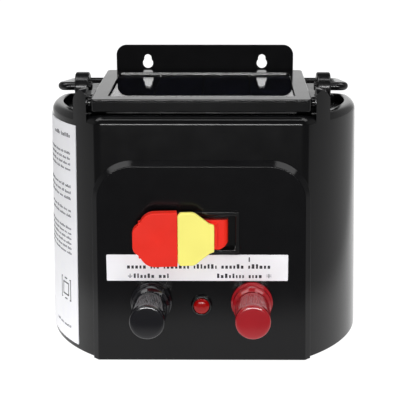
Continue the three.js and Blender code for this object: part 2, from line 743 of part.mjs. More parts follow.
// ---- The two screw terminals ----
const TERMINALS = [
  ["earth", -1, blackGloss],
  ["fence", 1, crimson],
];
const shankBack = -48.8;
const collarTier = -58.2; // the collar's wide tier ends here, and its narrow one at collarFace
const collarFace = -66.4;
const knobBack = -67.9;
const knobFace = -92.7;
const threadEnd = -89; // of the blind hole in the knob
for (const [name, side, material] of TERMINALS) {
  const terminal = new THREE.Group();
  terminal.position.set(side * TERMINAL.x, 0, TERMINAL.z);
  energizer.add(terminal);
  piece(
    `${name}_collar`,
    turned([
      [TERMINAL.stud + GAP, shankBack],
      [TERMINAL.hole - GAP, shankBack],
      [TERMINAL.hole - GAP, FASCIA.face - GAP],
      [TERMINAL.collar, FASCIA.face - GAP],
      [TERMINAL.collar, collarTier],
      [12.4, collarTier - 1],
      [12.3, collarFace + 2],
      [10.6, collarFace],
      [TERMINAL.stud + GAP, collarFace],
      [TERMINAL.stud + GAP, shankBack],
    ]),
    material,
    terminal,
  );
  piece(`${name}_stud`, barY(TERMINAL.stud, threadEnd + 1, -39, 0, 0), brass, terminal);
  const threadRadius = TERMINAL.stud + TERMINAL.running;
  const washer = barY(9, knobBack + GAP, collarFace - GAP, 0, 0).subtract(
    barY(threadRadius, knobBack - 3, collarFace + 3, 0, 0),
  );
  piece(`${name}_clamp_washer`, washer, brass, terminal);
  piece(
    `${name}_knob`,
    turned([
      [threadRadius, knobBack],
      [TERMINAL.knob - 0.8, knobBack],
      [TERMINAL.knob, knobBack - 0.8],
      [TERMINAL.knob, knobFace + 1.5],
      [TERMINAL.knob - 1.5, knobFace],
      [0, knobFace],
      [0, threadEnd],
      [threadRadius, threadEnd],
      [threadRadius, knobBack],
    ]),
    material,
    terminal,
  );
  piece(
    `${name}_nut`,
    barY(5.6, shankBack + GAP, -44, 0, 0, 6).subtract(barY(threadRadius, -50, -40, 0, 0)),
    steel,
    terminal,
  );
}

// ---- The lamp ----
const lampFace = FASCIA.face - GAP;
piece(
  "indicator_bezel",
  turned(
    [
      [LAMP.bore, -44],
      [LAMP.barrel, -44],
      [LAMP.barrel, lampFace],
      [LAMP.bezel, lampFace],
      [LAMP.bezel, lampFace - 1],
      [6, lampFace - 2.2],
      [LAMP.lens + GAP, lampFace - 2.2],
      [LAMP.lens + GAP, lampFace - 0.6],
      [LAMP.bore, lampFace - 0.6],
      [LAMP.bore, -44],
    ],
    0,
    LAMP.z,
    28,
  ),
  blackGloss,
);
piece(
  "indicator_lens",
  turned(
    [
      [0, lampFace - 0.9],
      [LAMP.lens, lampFace - 0.9],
      [LAMP.lens, lampFace - 1.9],
      [3.8, lampFace - 2.9],
      [1.8, lampFace - 3.5],
      [0, lampFace - 3.7],
    ],
    0,
    LAMP.z,
    24,
  ),
  lampRed,
);
piece("indicator_led", barY(2.4, lampFace - 0.5, -40, 0, LAMP.z, 16), lampRed);
piece(
  "indicator_nut",
  barY(6.2, -51.9, -49.5, 0, LAMP.z, 6).subtract(barY(LAMP.barrel + 0.15, -54, -46, 0, LAMP.z)),
  steel,
);

// ---- Inside: the battery under its strap, and the pulse circuit ----
const batteryFloor = BASE.thickness + GAP;
const batteryTop = batteryFloor + BATTERY.height;
const batteryPlan = roundedRectangle(BATTERY.x0, BATTERY.x1, BATTERY.y0, BATTERY.y1, 2, 2, 2);
piece(
  "battery",
  join(
    solid(prism(batteryPlan, batteryFloor, batteryTop)),
    block(BATTERY.x0 + 8, BATTERY.x0 + 12.8, 8, 8.8, batteryTop - 1, batteryTop + 6),
    block(BATTERY.x1 - 12.8, BATTERY.x1 - 8, 8, 8.8, batteryTop - 1, batteryTop + 6),
  ),
  batteryGrey,
);
const STRAP = { y0: 20, y1: 32, thickness: 1.2 };
const strapIn = [BATTERY.x0 - 2 * GAP - BASE.rib, BATTERY.x1 + 2 * GAP + BASE.rib];
const strapOut = [strapIn[0] - STRAP.thickness, strapIn[1] + STRAP.thickness];
const strapTop = batteryTop + GAP;
piece(
  "battery_strap",
  join(
    block(strapOut[0], strapOut[1], STRAP.y0, STRAP.y1, strapTop, strapTop + STRAP.thickness),
    block(strapOut[0], strapIn[0], STRAP.y0, STRAP.y1, batteryFloor, strapTop + 0.5),
    block(strapIn[1], strapOut[1], STRAP.y0, STRAP.y1, batteryFloor, strapTop + 0.5),
  ),
  steel,
);
piece(
  "circuit_board",
  cut(
    block(BOARD.x0, BOARD.x1, BOARD.y, boardBack, batteryFloor, BOARD.top),
    ...BOARD_SCREWS.map((x) => barY(1.9, BOARD.y - 1, boardBack + 1, x, BOARD.screwZ, 12)),
  ),
  boardGreen,
);
BOARD_SCREWS.forEach((x, i) =>
  piece(
    `board_screw_${i + 1}`,
    join(
      barY(3, BOARD.y - GAP - 2, BOARD.y - GAP, x, BOARD.screwZ, 14),
      barY(1.3, BOARD.y - 1, 36, x, BOARD.screwZ, 10),
    ),
    steel,
  ),
);
const pulse = new THREE.Group(); // the pulse transformer, about the middle of its core
pulse.position.set(42, 5, 38);
energizer.add(pulse);
piece(
  "transformer_core",
  cut(
    block(-18, 18, -9, 9, -15, 15),
    block(-12, -6, -12, 12, -9, 9),
    block(6, 12, -12, 12, -9, 9),
  ),
  ferrite,
  pulse,
);
piece(
  "transformer_coil",
  solid(prism(roundedRectangle(-11.7, 11.7, -14.5, 14.5, 4, 4, 4), -8.7, 8.7)).subtract(
    block(-6.3, 6.3, -9.3, 9.3, -12, 12),
  ),
  copper,
  pulse,
);
piece("storage_capacitor", barZ(10, 16, 52, 74, 9, 24), blackGloss);
piece("relay", block(14, 33, BOARD.y - GAP - 15.5, BOARD.y - GAP, 70, 85), blackGloss);

export default energizer;
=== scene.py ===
"""The looks of a solar fence energizer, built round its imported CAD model.

Lengths are in millimetres in the model's own frame, and become metres when a mesh is made.
Sizes that the CAD nodes have are read from their boxes; the rest are named below.
"""
import math
import random
from types import SimpleNamespace as Sizes

import bmesh
import bpy
from mathutils import Matrix, Quaternion, Vector


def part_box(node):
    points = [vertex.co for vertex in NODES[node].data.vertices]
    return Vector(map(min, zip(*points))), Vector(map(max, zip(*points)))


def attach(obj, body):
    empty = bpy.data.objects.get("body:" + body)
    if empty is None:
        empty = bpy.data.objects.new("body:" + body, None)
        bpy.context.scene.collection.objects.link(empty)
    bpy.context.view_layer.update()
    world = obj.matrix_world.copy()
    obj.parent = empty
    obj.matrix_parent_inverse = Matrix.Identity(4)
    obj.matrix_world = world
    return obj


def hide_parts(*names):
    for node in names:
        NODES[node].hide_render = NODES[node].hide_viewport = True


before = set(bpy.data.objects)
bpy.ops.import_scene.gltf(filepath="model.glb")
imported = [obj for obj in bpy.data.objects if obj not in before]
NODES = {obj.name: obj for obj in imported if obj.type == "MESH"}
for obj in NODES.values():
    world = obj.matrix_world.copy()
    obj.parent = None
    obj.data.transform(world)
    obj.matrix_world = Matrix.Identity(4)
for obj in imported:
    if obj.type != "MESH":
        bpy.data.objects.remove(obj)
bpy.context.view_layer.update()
MM = 0.001
DEGREE = math.pi / 180
WELD = 1e-7  # in metres: vertices nearer than this become one
CLEARANCE = 0.3  # between moulded pieces that sit in one another
SHARP = 38  # in degrees: an edge that turns more than this is shaded sharp

# ---- Camera: the front of the object, from a little above and a little to its right ----
# Place, lens and sensor in millimetres, turns in degrees, nearest and furthest sight in metres.
CAMERA = Sizes(
    place=(17.8, -662.9, 264.0), down=12.28, left=0.3, lens=91.15, sensor=36, shift=(-0.0618, -0.1),
    sight=(0.01, 50),
)


def new_object(name, data):
    made = bpy.data.objects.new(name, data)
    bpy.context.scene.collection.objects.link(made)
    return made


def add_camera():
    data = bpy.data.cameras.new("camera")
    data.lens = CAMERA.lens
    data.sensor_width = CAMERA.sensor
    data.shift_x, data.shift_y = CAMERA.shift
    data.clip_start, data.clip_end = CAMERA.sight
    camera = new_object("camera", data)
    camera.location = Vector(CAMERA.place) * MM
    camera.rotation_euler = ((90 - CAMERA.down) * DEGREE, 0, CAMERA.left * DEGREE)
    bpy.context.scene.camera = camera


# ---- Outlines and profiles ----
def box_mm(node):
    """The lowest and highest corner of a CAD node, in millimetres."""
    low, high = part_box(node)
    return low / MM, high / MM


def arc(u, v, radius, start, stop, steps):
    """Points on an arc, in degrees, both ends among them."""
    angles = [(start + (stop - start) * i / steps) * DEGREE for i in range(steps + 1)]
    return [(u + radius * math.cos(a), v + radius * math.sin(a)) for a in angles]


def circle(u, v, radius, steps):
    return arc(u, v, radius, 0, 360, steps)[:-1]


def filleted(corners, closed=True, steps=6, support=0.8):
    """A line of rounded (u, v, radius) corners, with a point beyond each arc that has room."""
    points = []
    last = len(corners) - 1
    for i, (u, v, radius) in enumerate(corners):
        if radius == 0 or (not closed and i in (0, last)):
            points.append((u, v))
            continue
        corner = Vector((u, v))
        before = Vector(corners[i - 1][:2]) - corner
        after = Vector(corners[(i + 1) % len(corners)][:2]) - corner
        room = min(before.length, after.length)
        before.normalize()
        after.normalize()
        half = before.angle(after) / 2
        reach = radius / math.tan(half)
        centre = corner + (before + after).normalized() * (radius / math.sin(half))
        start = corner + before * reach - centre
        stop = corner + after * reach - centre
        first = math.atan2(start.y, start.x)
        turn = (math.atan2(stop.y, stop.x) - first + math.pi) % (2 * math.pi) - math.pi
        roomy = reach + support < room / 2
        if roomy:
            points.append(tuple(corner + before * (reach + support)))
        for k in range(steps + 1):
            a = first + turn * k / steps
            points.append((centre.x + radius * math.cos(a), centre.y + radius * math.sin(a)))
        if roomy:
            points.append(tuple(corner + after * (reach + support)))
    return points


def rectangle(x0, x1, y0, y1, lower, upper=None, steps=6):
    """A rectangle with rounded lower and upper corners."""
    upper = lower if upper is None else upper
    return filleted([(x0, y0, lower), (x1, y0, lower), (x1, y1, upper), (x0, y1, upper)], steps=steps)


# ---- Meshes ----
PLANES = {
    "XY": lambda u, v, w: (u, v, w),
    "XZ": lambda u, v, w: (u, w, v),
    "YZ": lambda u, v, w: (w, u, v),
}


def new_piece(name, points, faces):
    """A closed mesh from points in millimetres, with its faces turned outwards."""
    mesh = bpy.data.meshes.new(name)
    mesh.from_pydata([Vector(p) * MM for p in points], [], faces)
    tidy = bmesh.new()
    tidy.from_mesh(mesh)
    bmesh.ops.remove_doubles(tidy, verts=tidy.verts, dist=WELD)
    bmesh.ops.recalc_face_normals(tidy, faces=tidy.faces)
    tidy.to_mesh(mesh)
    tidy.free()
    return new_object(name, mesh)


def lofted(name, rings, closed=False):
    """A skin over rings of as many points each: a closed tube, or a body with flat ends."""
    count = len(rings[0])
    points = [p for ring in rings for p in ring]
    faces = []
    for r in range(len(rings) if closed else len(rings) - 1):
        low, high = r * count, (r + 1) % len(rings) * count
        for i in range(count):
            j = (i + 1) % count
            faces.append((low + i, low + j, high + j, high + i))
    if not closed:
        faces.append(tuple(range(count)))
        faces.append(tuple(range(len(points) - count, len(points))))
    return new_piece(name, points, faces)


def extruded(name, outline, low, high, plane):
    """A prism: an outline in one plane, from low to high along the third axis."""
    place = PLANES[plane]
    return lofted(name, [[place(u, v, w) for u, v in outline] for w in (low, high)])


def block(name, x0, x1, y0, y1, z0, z1):
    return extruded(name, [(x0, y0), (x1, y0), (x1, y1), (x0, y1)], z0, z1, "XY")


def turned(name, profile, x, z, sides=96, ripple=None):
    """A [radius, y] profile turned about the Y axis through x and z. A ripple is added to its radii."""
    rings = []
    for radius, y in profile:
        ring = []
        for i in range(sides):
            a = 2 * math.pi * i / sides
            r = radius + (ripple(a, y) if ripple else 0)
            ring.append((x + r * math.cos(a), y, z + r * math.sin(a)))
        rings.append(ring)
    return lofted(name, rings)


def turned_ring(name, section, x, z, sides=128):
    """A closed [radius, y] section turned about the Y axis through x and z."""
    rings = []
    for i in range(sides):
        a = 2 * math.pi * i / sides
        rings.append([(x + r * math.cos(a), y, z + r * math.sin(a)) for r, y in section])
    return lofted(name, rings, closed=True)


def swept(name, stations, radius, sides=24):
    """A round rod along a chain of points, with rounded ends."""
    path = [Vector(p) for p in stations]
    ends = [(path[0], path[0] - path[1]), (path[-1], path[-1] - path[-2])]
    rings = []
    side = None
    for i, p in enumerate(path):
        ahead = path[min(i + 1, len(path) - 1)] - path[max(i - 1, 0)]
        ahead.normalize()
        if side is None:
            side = ahead.orthogonal().normalized()
        side = (side - ahead * side.dot(ahead)).normalized()
        across = ahead.cross(side)
        spokes = [2 * math.pi * k / sides for k in range(sides)]
        rings.append([p + (side * math.cos(a) + across * math.sin(a)) * radius for a in spokes])
    rounding = 0.8

    def ending(ring, centre, out):
        out = out.normalized()
        made = []
        for step in (1, 2, 3):
            angle = step * math.pi / 6
            inward = 1 - rounding / radius * (1 - math.cos(angle))
            made.append([centre + (p - centre) * inward + out * (rounding * math.sin(angle)) for p in ring])
        return made

    first = ending(rings[0], *ends[0])
    last = ending(rings[-1], *ends[1])
    return lofted(name, [*reversed(first), *rings, *last])


def bent_route(corners, radii, steps=14):
    """The stations of a route through corner points, each inner corner an arc of its own radius."""
    corners = [Vector(c) for c in corners]
    stations = [corners[0]]
    for i in range(1, len(corners) - 1):
        back = (corners[i - 1] - corners[i]).normalized()
        ahead = (corners[i + 1] - corners[i]).normalized()
        half = back.angle(ahead) / 2
        radius = radii[i - 1]
        centre = corners[i] + (back + ahead).normalized() * (radius / math.sin(half))
        start = corners[i] + back * (radius / math.tan(half)) - centre
        axis = ahead.cross(back).normalized()
        for k in range(steps + 1):
            stations.append(Quaternion(axis, (math.pi - 2 * half) * k / steps) @ start + centre)
    stations.append(corners[-1])
    return stations


# ---- Working on a mesh: the far ends of cutting tools, well clear of the piece, are bare numbers ----
def applied(piece):
    """Gives the piece the mesh that its modifiers make."""
    graph = bpy.context.evaluated_depsgraph_get()
    mesh = bpy.data.meshes.new_from_object(piece.evaluated_get(graph))
    piece.modifiers.clear()
    piece.data = mesh
    return piece


def bevelled(piece, width, segments=3, angle=40):
    """Rounds the edges that turn more than angle, in degrees. The width is in millimetres."""
    edge = piece.modifiers.new("edge", "BEVEL")
    edge.width = width * MM
    edge.segments = segments
    edge.limit_method = "ANGLE"
    edge.angle_limit = angle * DEGREE
    return applied(piece)


def combined(piece, operation, *others):
    """Cuts, joins or intersects a piece with others, which are used up."""
    for other in others:
        step = piece.modifiers.new(operation, "BOOLEAN")
        step.operation = operation
        step.solver = "EXACT"
        step.object = other
        applied(piece)
        bpy.data.objects.remove(other)
    return piece


def cut(piece, *others):
    return combined(piece, "DIFFERENCE", *others)


def joined(piece, *others):
    return combined(piece, "UNION", *others)


def merged(name, parts):
    """Several loose meshes as one object."""
    made = bmesh.new()
    for part in parts:
        made.from_mesh(part.data)
        bpy.data.objects.remove(part)
    mesh = bpy.data.meshes.new(name)
    made.to_mesh(mesh)
    made.free()
    return new_object(name, mesh)


def moved(piece, matrix):
    """Moves a mesh made in a local frame, in millimetres, to its place."""
    piece.data.transform(Matrix.Scale(MM, 4) @ matrix @ Matrix.Scale(1 / MM, 4))
    return piece


def finished(piece, body, material, slot, *replaced, sharp=SHARP):
    """Shades the piece, gives it its material, and puts it on its body."""
    shade = bmesh.new()
    shade.from_mesh(piece.data)
    for face in shade.faces:
        face.smooth = True
    for edge in shade.edges:
        edge.smooth = len(edge.link_faces) == 2 and edge.calc_face_angle(0) < sharp * DEGREE
    shade.to_mesh(piece.data)
    shade.free()
    weigh = piece.modifiers.new("normals", "WEIGHTED_NORMAL")
    weigh.keep_sharp = True
    applied(piece)
    piece.data.materials.clear()
    piece.data.materials.append(material)
    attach(piece, body)
    if replaced:
        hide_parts(*replaced)
    return piece


# ---- Materials ----
NOISE_RANGE = (0.3, 0.7)  # most of a noise texture's values lie between these
MOTTLE = Sizes(share=1.25, more=0.0008, scale=60)  # the lighter of a plastic's two colours
PLASTIC_FINISH_SCALE = 90
METAL_FINISH_SCALE = 900
METAL_GRAIN = {"scale": 1800, "distance": 0.01, "strength": 0.3}


def principled(name, color, roughness, **sockets):
    """A Principled material, its constant values on the shader's own sockets."""
    material = bpy.data.materials.new(name)
    material.use_nodes = True
    shader = material.node_tree.nodes["Principled BSDF"]
    shader.inputs["Base Color"].default_value = (*color, 1)
    shader.inputs["Roughness"].default_value = roughness
    for socket, value in sockets.items():
        shader.inputs[socket.replace("_", " ")].default_value = value
    return material


def math_node(tree, operation, *values):
    """A node that works on sockets and numbers."""
    node = tree.nodes.new("ShaderNodeMath")
    node.operation = operation
    for i, value in enumerate(values):
        if isinstance(value, (int, float)):
            node.inputs[i].default_value = value
        else:
            tree.links.new(value, node.inputs[i])
    return node.outputs["Value"]


def ramped(tree, source, start, stop, first, last, kind="SMOOTHSTEP"):
    """A step from one value to another as the source goes from start to stop."""
    ramp = tree.nodes.new("ShaderNodeMapRange")
    ramp.interpolation_type = kind
    ramp.inputs["From Min"].default_value = start
    ramp.inputs["From Max"].default_value = stop
    ramp.inputs["To Min"].default_value = first
    ramp.inputs["To Max"].default_value = last
    tree.links.new(source, ramp.inputs["Value"])
    return ramp.outputs["Result"]


def mixed(tree, factor, first, second):
    """A mix of two colours, of which the first may be a socket."""
    mix = tree.nodes.new("ShaderNodeMix")
    mix.data_type = "RGBA"
    if isinstance(first, tuple):
        mix.inputs["A"].default_value = first
    else:
        tree.links.new(first, mix.inputs["A"])
    mix.inputs["B"].default_value = second
    tree.links.new(factor, mix.inputs["Factor"])
    return mix.outputs["Result"]


def coordinates(tree, kind):
    """The X, Y and Z of a texture coordinate."""
    place = tree.nodes.new("ShaderNodeTexCoord")
    split = tree.nodes.new("ShaderNodeSeparateXYZ")
    tree.links.new(place.outputs[kind], split.inputs["Vector"])
    return split.outputs


def noise(material, scale, detail=2.0, stretch=(1, 1, 1)):
    """A noise in the piece's own coordinates."""
    tree = material.node_tree
    place = tree.nodes.new("ShaderNodeTexCoord")
    mapping = tree.nodes.new("ShaderNodeMapping")
    mapping.inputs["Scale"].default_value = stretch
    texture = tree.nodes.new("ShaderNodeTexNoise")
    texture.inputs["Scale"].default_value = scale
    texture.inputs["Detail"].default_value = detail
    tree.links.new(place.outputs["Object"], mapping.inputs["Vector"])
    tree.links.new(mapping.outputs["Vector"], texture.inputs["Vector"])
    return texture.outputs["Fac"]


def uneven(material, socket, low, high, scale, stretch=(1, 1, 1)):
    """Lets a value wander between two limits over the surface."""
    tree = material.node_tree
    wander = ramped(tree, noise(material, scale, stretch=stretch), *NOISE_RANGE, low, high, "LINEAR")
    tree.links.new(wander, tree.nodes["Principled BSDF"].inputs[socket])


def mottled(material, first, second, scale):
    """Lets the colour wander a little between two colours."""
    tree = material.node_tree
    color = mixed(tree, noise(material, scale, 3.0), (*first, 1), (*second, 1))
    tree.links.new(color, tree.nodes["Principled BSDF"].inputs["Base Color"])


def grained(material, scale, distance, strength=0.5, detail=3.0, stretch=(1, 1, 1)):
    """Raises a fine grain on the surface, distance in millimetres."""
    tree = material.node_tree
    bump = tree.nodes.new("ShaderNodeBump")
    bump.inputs["Strength"].default_value = strength
    bump.inputs["Distance"].default_value = distance * MM
    tree.links.new(noise(material, scale, detail, stretch), bump.inputs["Height"])
    tree.links.new(bump.outputs["Normal"], tree.nodes["Principled BSDF"].inputs["Normal"])


def plastic(name, color, rough, grain=0.03, grain_scale=2600, **sockets):
    """Moulded plastic: a fine spark-eroded grain and a finish that is not quite even."""
    material = principled(name, color, rough[0], **sockets)
    lighter = tuple(c * MOTTLE.share + MOTTLE.more for c in color)
    mottled(material, color, lighter, MOTTLE.scale)
    uneven(material, "Roughness", *rough, PLASTIC_FINISH_SCALE)
    grained(material, grain_scale, grain)
    return material


def metal(name, color, rough, stretch=(1, 1, 1)):
    """Metal with a fine grain, which a stretch draws out into brushing or windings."""
    material = principled(name, color, rough[0], Metallic=1.0)
    uneven(material, "Roughness", *rough, METAL_FINISH_SCALE, stretch)
    grained(material, **METAL_GRAIN, stretch=stretch)
    return material


BLACK = (0.003, 0.003, 0.0034)
case_black = plastic("case_black", BLACK, (0.13, 0.17), grain=0.004, Specular_IOR_Level=0.3)
fascia_black = plastic(
    "fascia_black", (0.0028, 0.0028, 0.0034), (0.14, 0.18), grain=0.004, Specular_IOR_Level=0.22
)
panel_black = plastic("panel_black", BLACK, (0.1, 0.17), grain=0.004, Specular_IOR_Level=0.6)
cover_black = plastic("cover_black", BLACK, (0.2, 0.3), grain=0.01)
gloss_black = plastic("gloss_black", BLACK, (0.1, 0.16), grain=0.003)
post_black = plastic("post_black", BLACK, (0.18, 0.26), grain=0.006)
knob_black = plastic("knob_black", (0.004, 0.004, 0.006), (0.08, 0.14), grain=0.002)
knob_red = plastic("knob_red", (0.33, 0.008, 0.014), (0.1, 0.17), grain=0.002)
switch_red = plastic(
    "switch_red", (0.86, 0.024, 0.011), (0.32, 0.4), grain=0.006, Specular_IOR_Level=0.25
)
key_yellow = plastic("key_yellow", (1.0, 0.92, 0.2), (0.34, 0.42), grain=0.006)
powder_coat = plastic(
    "powder_coat", BLACK, (0.6, 0.7), grain=0.015, grain_scale=900, Specular_IOR_Level=0.04
)
rod_black = plastic("rod_coat", BLACK, (0.14, 0.22), grain=0.005, grain_scale=1200)
label_white = plastic("label_film", (0.9, 0.9, 0.93), (0.34, 0.42), grain=0.003)
ink = plastic("label_ink", (0.012, 0.012, 0.016), (0.4, 0.5), grain=0.003)
rubber = plastic("seal_rubber", (0.01, 0.01, 0.01), (0.6, 0.75), grain=0.03, grain_scale=1500)
battery_grey = plastic("battery_case", (0.04, 0.043, 0.05), (0.45, 0.55))
board_green = plastic("board_mask", (0.012, 0.09, 0.03), (0.3, 0.4), grain=0.01, grain_scale=400)
component_black = plastic("component_case", (0.01, 0.01, 0.012), (0.35, 0.45))
zinc = metal("zinc_plate", (0.62, 0.62, 0.63), (0.28, 0.42))
brass = metal("brass", (0.72, 0.5, 0.18), (0.25, 0.38))
core_iron = metal("core_iron", (0.12, 0.12, 0.125), (0.5, 0.65), stretch=(1, 30, 1))
coil_copper = metal("coil_copper", (0.6, 0.24, 0.09), (0.3, 0.4), stretch=(1, 1, 40))
silver = metal("busbar_silver", (0.75, 0.76, 0.78), (0.3, 0.4))

cover_glass = principled("cover_glass", (1, 1, 1), 0.015, IOR=1.5, Transmission_Weight=1.0)
grained(cover_glass, scale=12, distance=0.02, strength=0.05, detail=1.0)
lamp_red = principled(
    "lamp_red", (0.42, 0.002, 0.002), 0.16, IOR=1.45, Transmission_Weight=0.3, Specular_IOR_Level=0.3
)
grained(lamp_red, scale=500, distance=0.02, strength=0.3)

# The dark and light blue of the silicon and the scale they wander at, and the fingers across it.
SILICON = Sizes(dark=(0.002, 0.0025, 0.007, 1), light=(0.004, 0.005, 0.014, 1), scale=40, detail=4.0)
FINGERS = Sizes(color=(0.006, 0.007, 0.014, 1), scale=160, start=0.93, strength=0.35)


def solar_cell_material():
    """Dark blue silicon, mottled, with fine fingers across it that are a little paler."""
    material = principled("solar_cell", (0.004, 0.005, 0.018), 0.5, Specular_IOR_Level=0.0)
    tree = material.node_tree
    place = tree.nodes.new("ShaderNodeTexCoord")
    wave = tree.nodes.new("ShaderNodeTexWave")
    wave.bands_direction = "Y"
    wave.inputs["Scale"].default_value = FINGERS.scale
    tree.links.new(place.outputs["Object"], wave.inputs["Vector"])
    fingers = ramped(tree, wave.outputs["Fac"], FINGERS.start, 1.0, 0.0, FINGERS.strength, "LINEAR")
    blotches = noise(material, SILICON.scale, SILICON.detail)
    blue = mixed(tree, blotches, SILICON.dark, SILICON.light)
    color = mixed(tree, fingers, blue, FINGERS.color)
    tree.links.new(color, tree.nodes["Principled BSDF"].inputs["Base Color"])
    return material


solar_cell = solar_cell_material()

# ---- The case ----
CASE = Sizes(radius=103, centre=28.8, front=-52, back=52, front_corner=9, back_corner=12)
CASE_STEPS = Sizes(front=10, side=40, back=12)  # straight pieces in each arc of the plan
FLAT_POINT = 2  # the flat front and back have a point this far from each arc
DRAFT = 1.2 * DEGREE
RIM_TOP = 158.0
RIM = Sizes(
    width=7.3, rounding=5.5, edge=0.8, bottom=149.2, ledge=8.8, ledge_bottom=146.5, wall=2.8,
)


def case_outline(inset):
    """The case's plan moved in from its outer face: flat front and back, round sides."""
    radius, centre = CASE.radius, CASE.centre
    front_corner, back_corner = CASE.front_corner, CASE.back_corner
    front, back = CASE.front + front_corner, CASE.back - back_corner
    front_x = math.sqrt((radius - front_corner) ** 2 - (front - centre) ** 2)
    back_x = math.sqrt((radius - back_corner) ** 2 - (back - centre) ** 2)
    front_angle = math.degrees(math.atan2(front - centre, front_x))
    back_angle = math.degrees(math.atan2(back - centre, back_x))
    right = arc(front_x, front, front_corner - inset, -90, front_angle, CASE_STEPS.front)
    right += arc(0, centre, radius - inset, front_angle, back_angle, CASE_STEPS.side)[1:]
    right += arc(back_x, back, back_corner - inset, back_angle, 90, CASE_STEPS.back)[1:]
    first, last = right[0], right[-1]
    right = [(first[0] - FLAT_POINT, first[1]), *right, (last[0] - FLAT_POINT, last[1])]
    return right + [(-x, y) for x, y in reversed(right)]


def spread(x, z):
    """A point's x moved out from the middle, as the mould's draft does below the rim."""
    return x * (1 + (RIM_TOP - z) * math.tan(DRAFT) / CASE.radius)


def case_ring(inset, z):
    return [(spread(x, z), y, z) for x, y in case_outline(inset)]


def case_body(name, inset, z0, z1):
    return lofted(name, [case_ring(inset, z0), case_ring(inset, z1)])


EAR = Sizes(
    inner=71.2, outer=80.8, front=-46, back=-29, foot=151, top=173.9, rounding=7.5, shoulder=9.3,
    edge=0.7,
)
HINGE = Sizes(y=-38.6, z=165.0)
SCOOP = Sizes(radius=10.1, half=68.8)  # across the rim, where the raised panel's front edge dips


def ear(side):
    """A hinge ear: the case's wall carried up, with a round outer top corner."""
    low, high = sorted((side * EAR.inner, side * EAR.outer))
    outer, top, shoulder = EAR.outer, EAR.top, EAR.shoulder
    side_view = rectangle(EAR.front, EAR.back, EAR.foot, top, 0, EAR.rounding, 10)
    lobe = extruded("ear", side_view, low, high, "YZ")
    front_view = [(-outer, 0, 0), (outer, 0, 0), (outer, top, shoulder), (-outer, top, shoulder)]
    corner = extruded("corner", filleted(front_view, steps=10), -80, 0, "XZ")
    wall = case_body("wall", 0.05, 100, 200)
    combined(lobe, "INTERSECT", corner, wall)
    return bevelled(lobe, EAR.edge)


def add_case():
    outside = [(0, 0, RIM.edge), (0, RIM_TOP, RIM.rounding), (RIM.width, RIM_TOP, RIM.edge)]
    ledge = [(RIM.width, RIM.bottom, 0), (RIM.ledge, RIM.bottom, 0), (RIM.ledge, RIM.ledge_bottom, 0)]
    inside = [(RIM.wall, RIM.ledge_bottom, RIM.edge), (RIM.wall, 0, 0)]
    rings = [case_ring(inset, z) for inset, z in filleted(outside + ledge + inside, steps=8)]
    shell = lofted("case", rings, closed=True)
    dip = circle(HINGE.y, HINGE.z, SCOOP.radius, 96)
    cut(shell, extruded("scoop", dip, -SCOOP.half, SCOOP.half, "YZ"))
    joined(shell, ear(-1), ear(1))
    finished(shell, "root", case_black, "case_black", "case_shell", sharp=32)


# ---- The top cover ----
COVER = Sizes(
    floor=152, half=84, front=-36, front_top=159.8, back=44.4, radius=88, corner=8, edge=1.2, overlap=2,
)
PANEL_TILT = 3.9 * DEGREE
NOTCH = Sizes(inner=73.9, outer=95, half=8)  # round the handle's posts
WELL = Sizes(half=22, front=-9, back=25, floor=154.5, corner=2)  # below the junction box


def add_cover():
    """The lid: a flange that fills the rim, and a plateau that slopes with the panel above it."""
    flange = case_body("cover", RIM.width + CLEARANCE, RIM.bottom + CLEARANCE, COVER.floor)
    half = COVER.half
    plan = rectangle(-half, half, COVER.front, COVER.back, COVER.corner, steps=10)
    lid = extruded("lid", plan, COVER.floor - COVER.overlap, 175, "XY")
    sides = circle(0, CASE.centre, COVER.radius, 160)
    combined(lid, "INTERSECT", extruded("round", sides, 140, 180, "XY"))
    rise = math.tan(PANEL_TILT)
    slope = [(y, COVER.front_top + (y - COVER.front) * rise) for y in (-120, 120)]
    cut(lid, extruded("above", [*slope, (120, 200), (-120, 200)], -120, 120, "YZ"))
    for side in (-1, 1):
        x0, x1 = sorted((side * NOTCH.inner, side * NOTCH.outer))
        cut(lid, block("notch", x0, x1, -NOTCH.half, NOTCH.half, 140, 200))
    well = rectangle(-WELL.half, WELL.half, WELL.front, WELL.back, WELL.corner)
    cut(lid, extruded("well", well, WELL.floor, 200, "XY"))
    bevelled(lid, COVER.edge, 4)
    joined(flange, lid)
    finished(flange, "root", cover_black, "case_black", "top_cover")


# ---- The front fascia ----
FASCIA = Sizes(
    face=-55.5, half=67.5, top=130.8, corner=25, bevel=3.4, bottom=0.6, outer_edge=0.6, inner_edge=0.9,
    land=6,
)


def fascia_ring(inset, y):
    half = FASCIA.half - inset
    bottom = FASCIA.bottom
    top = FASCIA.top - inset
    corner = FASCIA.corner - inset
    outline = [(-half, bottom, 0), (half, bottom, 0), (half, top, corner), (-half, top, corner)]
    return [(spread(x, z), y, z) for x, z in filleted(outline, steps=20)]


def add_fascia():
    face = FASCIA.face
    side = [(0, CASE.front + CLEARANCE, 0), (0, face + FASCIA.bevel, FASCIA.outer_edge)]
    front = [(FASCIA.bevel, face, FASCIA.inner_edge), (FASCIA.bevel + FASCIA.land, face, 0)]
    line = filleted(side + front, closed=False, steps=5, support=0.3)
    front = lofted("fascia", [fascia_ring(inset, y) for inset, y in line])
    cut(front, switch_block("opening", CLEARANCE, -80, 0))
    finished(front, "root", fascia_black, "case_black", "front_fascia", sharp=25)


# ---- Printing: rows of small bars stand for text ----
# Shares of the print's size: the bars' widths and heights, the gaps, and the least room for one more.
BAR = Sizes(width=(0.3, 0.62), tall=(0.68, 0.68, 1.0), gap=0.34, word_gap=0.7, room=0.5)
WORD = (3, 8)  # the fewest and the most bars in a word


